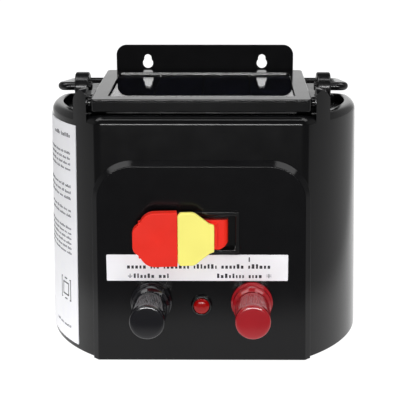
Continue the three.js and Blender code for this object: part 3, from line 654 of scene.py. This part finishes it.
def bars(rng, start, stop, size):
    """Bars of uneven width and height from start to stop, in words, like a line of small print."""
    made = []
    u = start
    word = rng.randint(*WORD)
    while u < stop - size * BAR.room:
        width = size * rng.uniform(*BAR.width)
        tall = size * rng.choice(BAR.tall)
        made.append((u, min(u + width, stop), tall))
        u += width + size * BAR.gap
        word -= 1
        if word == 0:
            u += size * BAR.word_gap
            word = rng.randint(*WORD)
    return made


LABEL_LOW, LABEL_HIGH = box_mm("fascia_label")
LABEL = Sizes(corner=0.6, edge=0.08, print=2.9, front=-0.04, back=0.05)
LABEL_ROWS = ((-46.7, 45.5, 62.1), (-42.6, -18.5, 55.9), (9.8, 39.5, 55.9))  # from, to and height
# Marks made of bars, each one its left, right, bottom and top: a single upright for on, an upright
# and three shrinking bars for earth, and a post with two wires for the fence.
ON_MARK = ((29.6, 30.4, 66.6, 69.5),)
EARTH_MARK = (
    (-45.1, -44.7, 57.2, 58.7), (-46.4, -43.4, 57.05, 57.35),
    (-45.9, -43.9, 56.5, 56.8), (-45.4, -44.4, 55.95, 56.25),
)
FENCE_MARK = ((42.2, 42.6, 55.9, 58.7), (40.8, 44.0, 56.66, 56.94), (40.8, 44.0, 57.76, 58.04))


def add_fascia_label():
    outline = rectangle(LABEL_LOW.x, LABEL_HIGH.x, LABEL_LOW.z, LABEL_HIGH.z, LABEL.corner)
    plate = extruded("fascia_label_film", outline, LABEL_LOW.y, FASCIA.face + 0.05, "XZ")
    bevelled(plate, LABEL.edge, 1, 30)
    finished(plate, "root", label_white, "label_white", "fascia_label")
    rng = random.Random(7)
    size = LABEL.print
    marks = []
    for start, stop, base in LABEL_ROWS:
        marks += [(u0, u1, base, base + tall) for u0, u1, tall in bars(rng, start, stop, size)]
    marks += [*ON_MARK, *EARTH_MARK, *FENCE_MARK]
    front, back = LABEL_LOW.y + LABEL.front, LABEL_LOW.y + LABEL.back
    marks = [block("bar", x0, x1, front, back, z0, z1) for x0, x1, z0, z1 in marks]
    finished(merged("fascia_label_print", marks), "root", ink, "label_white")


# Degrees round from the front, heights, and how far the film and the print stand out from the wall.
SIDE_LABEL = Sizes(start=50, stop=95, low=3.5, high=149.8, film=(-0.1, 0.55), print=(0.5, 0.6))
# The height of the first row, the number of rows, the size of the print, and where the rows end.
SIDE_ROWS = ((141, 1, 2.6, 40), (130, 4, 1.7, 68), (108, 3, 1.9, 60), (92, 2, 1.7, 50), (80, 6, 1.6, 70))
SIDE_MARGIN = Sizes(left=7, right=6)
ROW_PITCH = 2.1  # in sizes of the print
LAST_ROW = Sizes(left=9, right=34, height=12, print=1.7)
SQUARES = Sizes(across=16, height=38, halves=(7.5, 4.5), line=0.9)


def wall_patch(name, a0, a1, z0, z1, inner, outer, steps):
    """A thin patch that follows the case's left wall, between two angles round from the front."""
    rings = []
    for k in range(steps + 1):
        a = (-90 - (a0 + (a1 - a0) * k / steps)) * DEGREE
        ring = []
        for out, z in ((inner, z0), (outer, z0), (outer, z1), (inner, z1)):
            r = CASE.radius + out
            ring.append((spread(r * math.cos(a), z), CASE.centre + r * math.sin(a), z))
        rings.append(ring)
    return lofted(name, rings)


def add_side_label():
    start, stop = SIDE_LABEL.start, SIDE_LABEL.stop
    low, high = SIDE_LABEL.low, SIDE_LABEL.high
    film = wall_patch("side_label_film", start, stop, low, high, *SIDE_LABEL.film, 60)
    finished(film, "root", label_white, "label_white", "side_label")
    rng = random.Random(11)
    degree_mm = CASE.radius * DEGREE  # millimetres of wall to one degree
    wide = (stop - start) * degree_mm
    marks = []

    def mark(s0, s1, z0, z1):
        """One bar, between two distances from the label's front edge."""
        a0, a1 = start + s0 / degree_mm, start + s1 / degree_mm
        marks.append(wall_patch("bar", a0, a1, z0, z1, *SIDE_LABEL.print, 2))

    for top, rows, size, end in SIDE_ROWS:
        for row in range(rows):
            z = top - row * size * ROW_PITCH
            right = min(end * rng.uniform(0.8, 1), wide - SIDE_MARGIN.right)
            for s0, s1, tall in bars(rng, SIDE_MARGIN.left, right, size):
                mark(s0, s1, z, z + tall)
    z = LAST_ROW.height
    for s0, s1, tall in bars(rng, LAST_ROW.left, LAST_ROW.right, LAST_ROW.print):
        mark(s0, s1, z, z + tall)
    # Two plain squares, one in the other, as a neutral mark near the bottom.
    s, z, line = SQUARES.across, SQUARES.height, SQUARES.line
    for half in SQUARES.halves:
        for d in (-half, half - line):
            mark(s + d, s + d + line, z - half, z + half)
            mark(s - half, s + half, z + d, z + d + line)
    finished(merged("side_label_print", marks), "root", ink, "label_white")


# ---- The wall bracket and its screws ----
bracket_low, bracket_high = box_mm("wall_bracket")
BRACKET = Sizes(lower_corner=3, upper_corner=7, edge=0.3)
KEYHOLE = Sizes(x=40.3, z=178.6, round=3.65, neck=2.6, top=184.8)
BRACKET_SCREWS = ["bracket_screw_1", "bracket_screw_2", "bracket_screw_3"]
BASE_SCREWS = ["base_screw_1", "base_screw_2", "base_screw_3", "base_screw_4"]
SINK = Sizes(hole=1.9, mouth=3.7)  # radii of the countersunk holes
BRACKET_SCREW = {"head": 3.4, "depth": 1.6, "length": 13, "thread": 1.6}
BASE_SCREW = {"head": 3.4, "depth": 1.7, "length": 16, "thread": 1.6}
THREAD = Sizes(tip=2, blunt=0.5, pitch=0.8, rise=0.4, root=0.78, plain=0.9)
RECESS = Sizes(arm=0.52, half=0.13, depth=0.9)  # the first two as shares of the head's radius
DOME = Sizes(start=0.45, angles=(30, 55, 75))  # start is a share of the head's depth


def keyhole(x):
    """A cutting tool for a round hole with a narrower slot above it."""
    neck, top = KEYHOLE.neck, KEYHOLE.top
    lift = math.sqrt(KEYHOLE.round ** 2 - neck**2)
    below = math.degrees(math.atan2(lift, neck))
    outline = arc(x, KEYHOLE.z, KEYHOLE.round, 180 - below, 360 + below, 28)
    outline += arc(x, top - neck, neck, 0, 180, 14)
    return extruded("keyhole", outline, 0, 80, "XZ")


def add_bracket():
    corners = BRACKET.lower_corner, BRACKET.upper_corner
    outline = rectangle(bracket_low.x, bracket_high.x, bracket_low.z, bracket_high.z, *corners, 12)
    plate = extruded("bracket_plate", outline, bracket_low.y, bracket_high.y, "XZ")
    holes = [keyhole(-KEYHOLE.x), keyhole(KEYHOLE.x)]
    for name in BRACKET_SCREWS:
        low, high = box_mm(name)
        middle = (low + high) / 2
        hole, mouth = SINK.hole, SINK.mouth
        sink = [(hole, 40), (hole, bracket_low.y), (mouth, high.y + 0.05), (mouth, 60)]
        holes.append(turned("sink", sink, middle.x, middle.z, 48))
    cut(plate, *holes)
    bevelled(plate, BRACKET.edge, 2)
    finished(plate, "root", powder_coat, "bracket_black", "wall_bracket")


def screw(name, centre, axis, domed, head, depth, length, thread):
    """A screw with a cross recess. Its head is at the origin, looking along +Y, before it is turned."""
    shoulder = -length + THREAD.tip
    profile = [(0.01, -length), (thread * THREAD.blunt, -length), (thread, shoulder)]
    y = shoulder
    while y < -depth - THREAD.plain:
        profile += [(thread, y), (thread * THREAD.root, y + THREAD.rise)]
        y += THREAD.pitch
    if domed:
        start = depth * DOME.start
        profile += [(thread, -depth), (head, -depth), (head, -start)]
        for angle in DOME.angles:
            a = angle * DEGREE
            profile.append((head * math.cos(a), -start * (1 - math.sin(a))))
    else:
        profile += [(thread, -depth), (head - 0.1, -0.1), (head - 0.25, 0)]
    profile.append((0.01, 0))
    made = turned(name, profile, 0, 0, 40)
    arm, half, deep = head * RECESS.arm, head * RECESS.half, RECESS.depth
    cut(made, block("slot", -arm, arm, -deep, 1, -half, half))
    cut(made, block("slot", -half, half, -deep, 1, -arm, arm))
    turn = Vector((0, 1, 0)).rotation_difference(Vector(axis)).to_matrix().to_4x4()
    return moved(made, Matrix.Translation(centre) @ turn)


def add_screws():
    for name in BRACKET_SCREWS + BASE_SCREWS:
        low, high = box_mm(name)
        middle = (low + high) / 2
        if name in BASE_SCREWS:
            made = screw(name + "_cross", (middle.x, middle.y, low.z), (0, 0, -1), True, **BASE_SCREW)
        else:
            made = screw(name + "_cross", (middle.x, high.y, middle.z), (0, 1, 0), False, **BRACKET_SCREW)
        finished(made, "root", zinc, "steel", name)


# ---- The solar panel, made flat and then tilted ----
PANEL = Sizes(
    width=136.4, depth=95, thickness=8, front=-47, under=160.0, border=9.8, wall=6.3, corner=3,
    edge=0.8, top_plate=1.5,
)
PANEL_PLACE = Matrix.Translation((0, PANEL.front, PANEL.under)) @ Matrix.Rotation(PANEL_TILT, 4, "X")
WINDOW = Sizes(corner=1.5, bottom=2, lip=0.5, flare=(1.004, 1.005))  # flare: shares of x and y
GROOVE = Sizes(end=0.6, depth=0.45, low=1.9, high=1.3)  # the heights are from the panel's top
TABS = Sizes(cells=4, half=1.4, near=1.2, far=2.8, bottom=3.2, top=3.42)
JUNCTION_BOX = Sizes(half=19, front=43, back=65, corner=2, bottom=-5.5, top=0.3, edge=0.6)


def add_panel():
    half = PANEL.width / 2
    border, wall = PANEL.border, PANEL.wall
    depth, thick = PANEL.depth, PANEL.thickness
    body = extruded("panel_rim", rectangle(-half, half, 0, depth, PANEL.corner, steps=8), 0, thick, "XY")
    bevelled(body, PANEL.edge, 4)
    pocket_top = thick - PANEL.top_plate
    cut(body, block("pocket", -half + wall, half - wall, wall, depth - wall, -1, pocket_top))
    window = rectangle(-half + border, half - border, border, depth - border, WINDOW.corner)
    flare = [[(x, y, z) for x, y in window] for z in (WINDOW.bottom, thick - WINDOW.lip)]
    flare_x, flare_y = WINDOW.flare
    for z in (thick + 0.01, thick + 1):
        flare.append([(x * flare_x, depth / 2 + (y - depth / 2) * flare_y, z) for x, y in window])
    cut(body, lofted("window", flare))
    end = half - GROOVE.end
    low, high = thick - GROOVE.low, thick - GROOVE.high
    cut(body, block("groove", -end, end, -1, GROOVE.depth, low, high))
    finished(moved(body, PANEL_PLACE), "panel", panel_black, "panel_black", "panel_frame")


def add_panel_tabs():
    """The silver tabs between neighbouring cells, along the front edge of the glass."""
    tabs = []
    pitch = (PANEL.width - 2 * PANEL.wall) / TABS.cells
    near, far = PANEL.border + TABS.near, PANEL.border + TABS.far
    half = TABS.half
    for x in (-pitch, 0, pitch):
        tabs.append(block("tab", x - half, x + half, near, far, TABS.bottom, TABS.top))
    finished(moved(merged("panel_tabs", tabs), PANEL_PLACE), "panel", silver, "steel")


def add_junction_box():
    half = JUNCTION_BOX.half
    plan = rectangle(-half, half, JUNCTION_BOX.front, JUNCTION_BOX.back, JUNCTION_BOX.corner)
    box = extruded("junction_box", plan, JUNCTION_BOX.bottom, JUNCTION_BOX.top, "XY")
    bevelled(box, JUNCTION_BOX.edge)
    finished(moved(box, PANEL_PLACE), "panel", panel_black, "panel_black", "panel_junction_box")


PIN_HOLE = 2.1  # the radius of the hole that the hinge pin passes


def add_hinge_washers():
    for side in ("left", "right"):
        low, high = box_mm("panel_pivot_washer_" + side)
        middle = (low + high) / 2
        radius = (high.z - low.z) / 2
        made = extruded("hinge_washer_" + side, circle(middle.y, middle.z, radius, 48), low.x, high.x, "YZ")
        eye = circle(middle.y, middle.z, PIN_HOLE, 32)
        cut(made, extruded("eye", eye, low.x - 1, high.x + 1, "YZ"))
        bevelled(made, 0.5)
        finished(made, "root", gloss_black, "trim_black", "panel_pivot_washer_" + side)


# ---- The carry handle and its posts ----
HANDLE = Sizes(
    rod=2.8, pin_end=73.8, pin_bend=4.4, bend=14, leg=63, leg_x=93.2, height=169.6, droop=5.1 * DEGREE,
)
POST = Sizes(inset=0.3, barrel=9.3, stem=6.5, edge=1.1, foot=7.5, foot_top=3.5, foot_corner=1.5, bore=0.25)


def add_posts():
    for side in ("left", "right"):
        node = "handle_post_" + side
        low, high = box_mm(node)
        x0, x1 = low.x + POST.inset, high.x - POST.inset
        top = HANDLE.height
        floor = COVER.floor + CLEARANCE
        reach = math.degrees(math.acos(POST.stem / POST.barrel))
        eye = arc(0, top, POST.barrel, -reach, 180 + reach, 40)
        eye += [(-POST.stem, floor), (POST.stem, floor)]
        post = extruded("handle_eye_" + side, eye, x0, x1, "YZ")
        bevelled(post, POST.edge, 4)
        foot = rectangle(low.x, high.x, -POST.foot, POST.foot, POST.foot_corner)
        foot = bevelled(extruded("foot", foot, floor, COVER.floor + POST.foot_top, "XY"), 0.5, 2)
        joined(post, foot)
        bore = circle(0, top, HANDLE.rod + POST.bore, 32)
        cut(post, extruded("bore", bore, x0 - 5, x1 + 5, "YZ"))
        finished(post, "root", post_black, "trim_black", node)


def add_handle():
    end, out, top = HANDLE.pin_end, HANDLE.leg_x, HANDLE.height
    y = HANDLE.leg * math.cos(HANDLE.droop)
    z = top - HANDLE.leg * math.sin(HANDLE.droop)
    right = [(out, y, z), (out, 0, top), (end, 0, top)]
    left = [(-x, y, z) for x, y, z in reversed(right)]
    pin_bend, bend = HANDLE.pin_bend, HANDLE.bend
    route = bent_route([*left, *right], [pin_bend, bend, bend, pin_bend])
    rod = swept("handle_rod", route, HANDLE.rod)
    finished(rod, "handle", rod_black, "handle_black", "carry_handle")


# ---- The rocker switch ----
SWITCH = Sizes(centre=(4, -51, 84.5), lean=5 * DEGREE)
ROCKER_PLACE = Matrix.Translation(SWITCH.centre) @ Matrix.Rotation(SWITCH.lean, 4, "Z")
# Heights below and above the switch's centre, for the body behind its frame and for the socket in it.
MIDDLE = Sizes(left=-12.1, right=22.5, below=10.9, above=13.3, front=-56.5, back=-34)
SOCKET = Sizes(left=-10.5, right=21.4, below=9.9, above=12.2, corner=0.8, floor=-38)
PADDLE = Sizes(face=-16, back=-9.5, seam=-19.6, half=17.1, edge=1.1)
NECK = Sizes(half=9.5, pivot=5, pin_hole=1.15)
KEY = Sizes(back=-12.5, right=2.9, gap=0.3, edge=0.7)


def switch_block(name, grow, front, back):
    """A block round the middle of the switch body, larger on four sides by grow."""
    z = SWITCH.centre[2]
    x0, x1 = MIDDLE.left - grow, MIDDLE.right + grow
    return block(name, x0, x1, front, back, z - MIDDLE.below - grow, z + MIDDLE.above + grow)


def add_switch_body():
    z = SWITCH.centre[2]
    low, high = box_mm("switch_body")
    bezel = rectangle(low.x, high.x, low.z, high.z, 1.2)
    body = extruded("switch_frame", bezel, low.y, FASCIA.face - 0.1, "XZ")
    joined(body, switch_block("middle", 0, MIDDLE.front, MIDDLE.back))
    x0, x1 = SOCKET.left, SOCKET.right
    socket = rectangle(x0, x1, z - SOCKET.below, z + SOCKET.above, SOCKET.corner)
    cut(body, extruded("socket", socket, -70, SOCKET.floor, "XZ"))
    bevelled(body, 0.45)
    finished(body, "root", gloss_black, "trim_black", "switch_body")


def mirrored(upper):
    """The whole outline of a shape whose lower half mirrors its upper half."""
    return upper + [(u, -v, *rest) for u, v, *rest in reversed(upper)]


def add_rocker():
    """The rocker, in a frame with its pivot at the origin: the paddle, and the neck to the pivot."""
    half = PADDLE.half
    upper = [(PADDLE.seam - 0.15, half)]
    upper += arc(-33.4, half - 9.6, 9.6, 90, 157, 12)
    upper += arc(-43.0, 10.7, 0.7, 60, 140, 2)[1:]
    upper += arc(-41.4, 4.0, 5.8, 112, 180, 8)
    paddle = extruded("rocker_head", mirrored(upper), PADDLE.face, PADDLE.back, "XZ")
    bevelled(paddle, PADDLE.edge, 5)
    front = [(-21, -12.2, 0), (5, -12.2, 0.5), (5, -7, 0), (12.5, -7, 3.4)]
    back = [(12.5, 1, 1), (-5, 1, 0), (-5, -9.5, 0), (-21, -9.5, 0)]
    tall = NECK.half
    neck = extruded("neck", filleted(front + back, steps=8), -tall, tall, "XY")
    for z0, z1 in ((7.5, 12), (-12, -7.5)):
        cut(neck, block("narrow", -22, 5.2, -14, -7, z0, z1))
        cut(neck, block("narrow", -22, -5, -14, 2, z0, z1))
    corner = [(13, -3.5), (13, -12), (4, -12), (6.5, -9.6), (9.6, -8.0), (12, -5.4)]
    cut(neck, extruded("chamfer", corner, -8, 2, "XZ"))
    joined(neck, extruded("drum", circle(0, 0, NECK.pivot, 48), -tall, tall, "XY"))
    bevelled(neck, 0.5)
    joined(paddle, neck)
    cut(paddle, extruded("pin", circle(0, 0, NECK.pin_hole, 24), -12, 12, "XY"))
    cut(paddle, block("slot", -3.3, 3.3, -13, -5.3, -4.3, 4.3))
    finished(moved(paddle, ROCKER_PLACE), "rocker", switch_red, "switch_red", "switch_rocker")


def add_switch_key():
    """The yellow key piece on the rocker: a plate, and the prong that fills the rocker's slot."""
    left, right, top = PADDLE.seam, KEY.right, PADDLE.half - KEY.gap
    upper = [(left, top - 1.8, 0.6), (left + 1.8, top, 1.2), (-10.3, top, 2.5), (-8.3, top - 0.8, 1.5)]
    upper += [(0, 9.4, 1.2), (right, 8.4, 0.8)]
    outline = filleted(mirrored(upper), steps=5, support=0.2)
    key = extruded("key_plate", outline, PADDLE.face, KEY.back, "XZ")
    bevelled(key, KEY.edge, 4)
    joined(key, bevelled(block("prong", -3, 3, -12.9, -5.6, -4, 4), 0.5, 2))
    finished(moved(key, ROCKER_PLACE), "key", key_yellow, "key_yellow", "switch_key")


# ---- The screw terminals and the lamp ----
COLLAR = Sizes(bore=3.3, flange=13.2, neck=12.2, foot=-48.8, top=-66.4)
KNOB = Sizes(bore=3.2, grip=10.7, rounding=1.4, shoulder=-90.8, tip=-92.7)
KNURL = Sizes(ridges=64, depth=0.34, back=-69.8, front=-87.8, fade=0.6)
CLAMP_WASHER = Sizes(bore=3.2, radius=9, edge=0.25)


def ridges(angle, y):
    """Fine straight ridges round the knob, fading out at both ends."""
    fade = min(1, max(0, (KNURL.back - y) / KNURL.fade), max(0, (y - KNURL.front) / KNURL.fade))
    wave = 0.5 + 0.5 * math.cos(KNURL.ridges * angle)
    return -KNURL.depth * fade * wave


def collar_section():
    bore, neck, flange = COLLAR.bore, COLLAR.neck, COLLAR.flange
    foot, seat, top = COLLAR.foot, FASCIA.face - 0.1, COLLAR.top
    inside = [(bore, foot, 0), (6.2, foot, 0), (6.2, seat, 0)]
    outside = [(flange, seat, 0.15), (flange, -58.3, 0.9), (neck, -58.9, 0.5), (neck, -64.4, 1.6)]
    return [*inside, *outside, (10.6, top, 0.5), (bore, top, 0)]


def knob_profile():
    bore, grip, rounding, tip = KNOB.bore, KNOB.grip, KNOB.rounding, KNOB.tip
    back, span = KNURL.back, KNURL.back - KNURL.front
    profile = [(bore, -89), (bore, -67.9), (9.9, -67.9), (10.5, -68.2), (grip, -68.8), (grip, back)]
    profile += [(grip, back - span * k / 12) for k in (0.5, 1, 3, 6, 9, 11, 11.5, 12)]
    profile += [(grip, -88.4), (grip, -90.2)]
    for angle in range(0, 76, 12):
        a = angle * DEGREE
        r = grip - rounding + rounding * math.cos(a)
        profile.append((r, KNOB.shoulder - rounding * math.sin(a)))
    r, y = profile[-1]
    profile += [(r * share, tip + (y - tip) * share**2) for share in (0.85, 0.7, 0.5, 0.3, 0.12, 0.001)]
    return profile


def add_terminals():
    looks = (("earth", knob_black, "terminal_black"), ("fence", knob_red, "terminal_red"))
    for name, material, slot in looks:
        low, high = box_mm(name + "_stud")
        x, z = (low.x + high.x) / 2, (low.z + high.z) / 2
        collar = turned_ring(name + "_base", filleted(collar_section(), steps=6, support=0.2), x, z)
        finished(collar, "root", material, slot, name + "_collar")
        knob = turned(name + "_grip", knob_profile(), x, z, KNURL.ridges * 6, ridges)
        finished(knob, name + "_knob", material, slot, name + "_knob")
        low, high = box_mm(name + "_clamp_washer")
        bore, radius, edge = CLAMP_WASHER.bore, CLAMP_WASHER.radius, CLAMP_WASHER.edge
        section = [(bore, low.y, 0), (radius, low.y, edge), (radius, high.y, edge), (bore, high.y, 0)]
        washer = turned_ring(name + "_clamp", filleted(section, steps=3, support=0.2), x, z)
        finished(washer, name + "_clamp", brass, "brass", name + "_clamp_washer")


LAMP_BEZEL = Sizes(bore=3.2, thread=4, back=-44)
LENS = Sizes(radius=5, edge=1.0)


def add_lamp():
    low, high = box_mm("indicator_lens")
    z = (low.z + high.z) / 2
    face = FASCIA.face - 0.1
    bore, thread, back = LAMP_BEZEL.bore, LAMP_BEZEL.thread, LAMP_BEZEL.back
    inside = [(bore, back, 0), (thread, back, 0), (thread, face, 0)]
    outside = [(6.7, face, 0.1), (6.7, face - 1.3, 0.7), (6.0, face - 2.4, 0.4), (5.3, face - 2.4, 0.2)]
    section = [*inside, *outside, (5.3, face - 0.8, 0), (bore, face - 0.8, 0)]
    bezel = turned_ring("lamp_bezel", filleted(section, steps=6, support=0.1), 0, z)
    finished(bezel, "root", gloss_black, "trim_black", "indicator_bezel")
    radius, edge = LENS.radius, high.y - LENS.edge
    dome = [(0.001, high.y), (radius, high.y), (radius, edge)]
    for angle in range(10, 90, 10):
        a = angle * DEGREE
        dome.append((radius * math.cos(a), edge - (edge - low.y) * math.sin(a)))
    dome.append((0.001, low.y))
    finished(turned("lamp_lens", dome, 0, z, 64), "root", lamp_red, "lamp_red", "indicator_lens")


# ---- CAD nodes that stay: their shape is right, and they get a finish ----
FINISHES = {
    "base_plate": case_black,
    "panel_glass": cover_glass,
    "panel_cell_": solar_cell,
    "panel_backing": panel_black,
    "_pivot_pin": zinc,
    "switch_tab_": brass,
    "_stud": brass,
    "_nut": zinc,
    "cable_grommet": rubber,
    "battery": battery_grey,
    "battery_strap": zinc,
    "circuit_board": board_green,
    "board_screw_": zinc,
    "transformer_core": core_iron,
    "transformer_coil": coil_copper,
    "storage_capacitor": component_black,
    "relay": component_black,
    "indicator_led": lamp_red,
}


def finish_kept_nodes():
    """Gives each node the finish of the last entry whose key is a part of its name."""
    for name, node in NODES.items():
        for part, material in FINISHES.items():
            if part in name:
                node.data.materials.clear()
                node.data.materials.append(material)


# ---- Floor, light and backdrop, in metres ----
FLOOR = Sizes(radius_mm=6000, thick_mm=10, color=(0.2, 0.2, 0.2), apex=0.7)
# Ramps of brightness: start, stop, first and last value. The floor's front is a Y, and its sides
# are X by the distance from the wedge's apex. The studio's are shares of the direction of view.
FLOOR_FRONT = (-0.19, -0.11, 0.06, 1.0)
FLOOR_SIDES = (0.23, 0.36, 1.0, 0.45)
STUDIO_DEPTH = (-0.8, 0.0, 0.2, 1.0)
STUDIO_HEIGHT = (0.3, 0.8, 1.0, 0.1)
STUDIO_WIDTH = (0.22, 0.5, 1.0, 0.35)
# Name, place, target, width and height, and watts.
LIGHTS = (
    ("softbox_left", (-0.55, -0.25, 1.0), (0, 0, 0.1), (0.45, 0.7), 3.4),
    ("softbox_right", (0.6, -0.2, 1.0), (0, 0, 0.1), (0.45, 0.7), 3.4),
    ("strip_overhead", (0, -0.52, 1.25), (0, 0, 0.1), (1.2, 0.14), 3),
    ("key", (0, -2.6, 0.32), (0, 0, 0.14), (1.8, 0.14), 32),
)


def add_floor():
    """A pale light table that fades to the front and beyond a wedge that opens to the back."""
    floor = extruded("floor", circle(0, 0, FLOOR.radius_mm, 64), -FLOOR.thick_mm, 0, "XY")
    material = principled("floor_paper", FLOOR.color, 0.9, Specular_IOR_Level=0.1)
    shader = material.node_tree.nodes["Principled BSDF"]
    shader.inputs["Emission Color"].default_value = (1, 1, 1, 1)
    tree = material.node_tree
    place = coordinates(tree, "Object")
    sideways = math_node(tree, "ABSOLUTE", place["X"])
    onward = math_node(tree, "ADD", place["Y"], FLOOR.apex)
    spread_out = math_node(tree, "DIVIDE", sideways, math_node(tree, "MAXIMUM", onward, 0.1))
    front = ramped(tree, place["Y"], *FLOOR_FRONT)
    sides = ramped(tree, spread_out, *FLOOR_SIDES)
    tree.links.new(math_node(tree, "MULTIPLY", front, sides), shader.inputs["Emission Strength"])
    floor.data.materials.append(material)


def add_light(name, place, target, size, power):
    """A rectangular lamp that points at its target."""
    data = bpy.data.lights.new(name, "AREA")
    data.shape = "RECTANGLE"
    data.size, data.size_y = size
    data.energy = power
    lamp = new_object(name, data)
    lamp.location = place
    lamp.rotation_euler = (Vector(target) - Vector(place)).to_track_quat("-Z", "Y").to_euler()


def add_world():
    """A studio that is bright behind, and dimmer at the sides, in front and overhead."""
    world = bpy.data.worlds.new("studio")
    world.use_nodes = True
    tree = world.node_tree
    sky = tree.nodes["Background"]
    view = coordinates(tree, "Generated")
    across = math_node(tree, "ABSOLUTE", view["X"])
    depth = ramped(tree, view["Y"], *STUDIO_DEPTH)
    height = ramped(tree, view["Z"], *STUDIO_HEIGHT)
    width = ramped(tree, across, *STUDIO_WIDTH)
    strength = math_node(tree, "MULTIPLY", math_node(tree, "MULTIPLY", depth, height), width)
    tree.links.new(strength, sky.inputs["Strength"])
    sky.inputs["Color"].default_value = (1, 1, 1, 1)
    bpy.context.scene.world = world


add_camera()
add_case()
add_cover()
add_fascia()
add_fascia_label()
add_side_label()
add_bracket()
add_screws()
add_panel()
add_panel_tabs()
add_junction_box()
add_hinge_washers()
add_posts()
add_handle()
add_switch_body()
add_rocker()
add_switch_key()
add_terminals()
add_lamp()
finish_kept_nodes()
add_floor()
add_world()
for light in LIGHTS:
    add_light(*light)
bpy.context.scene.view_settings.view_transform = "Standard"
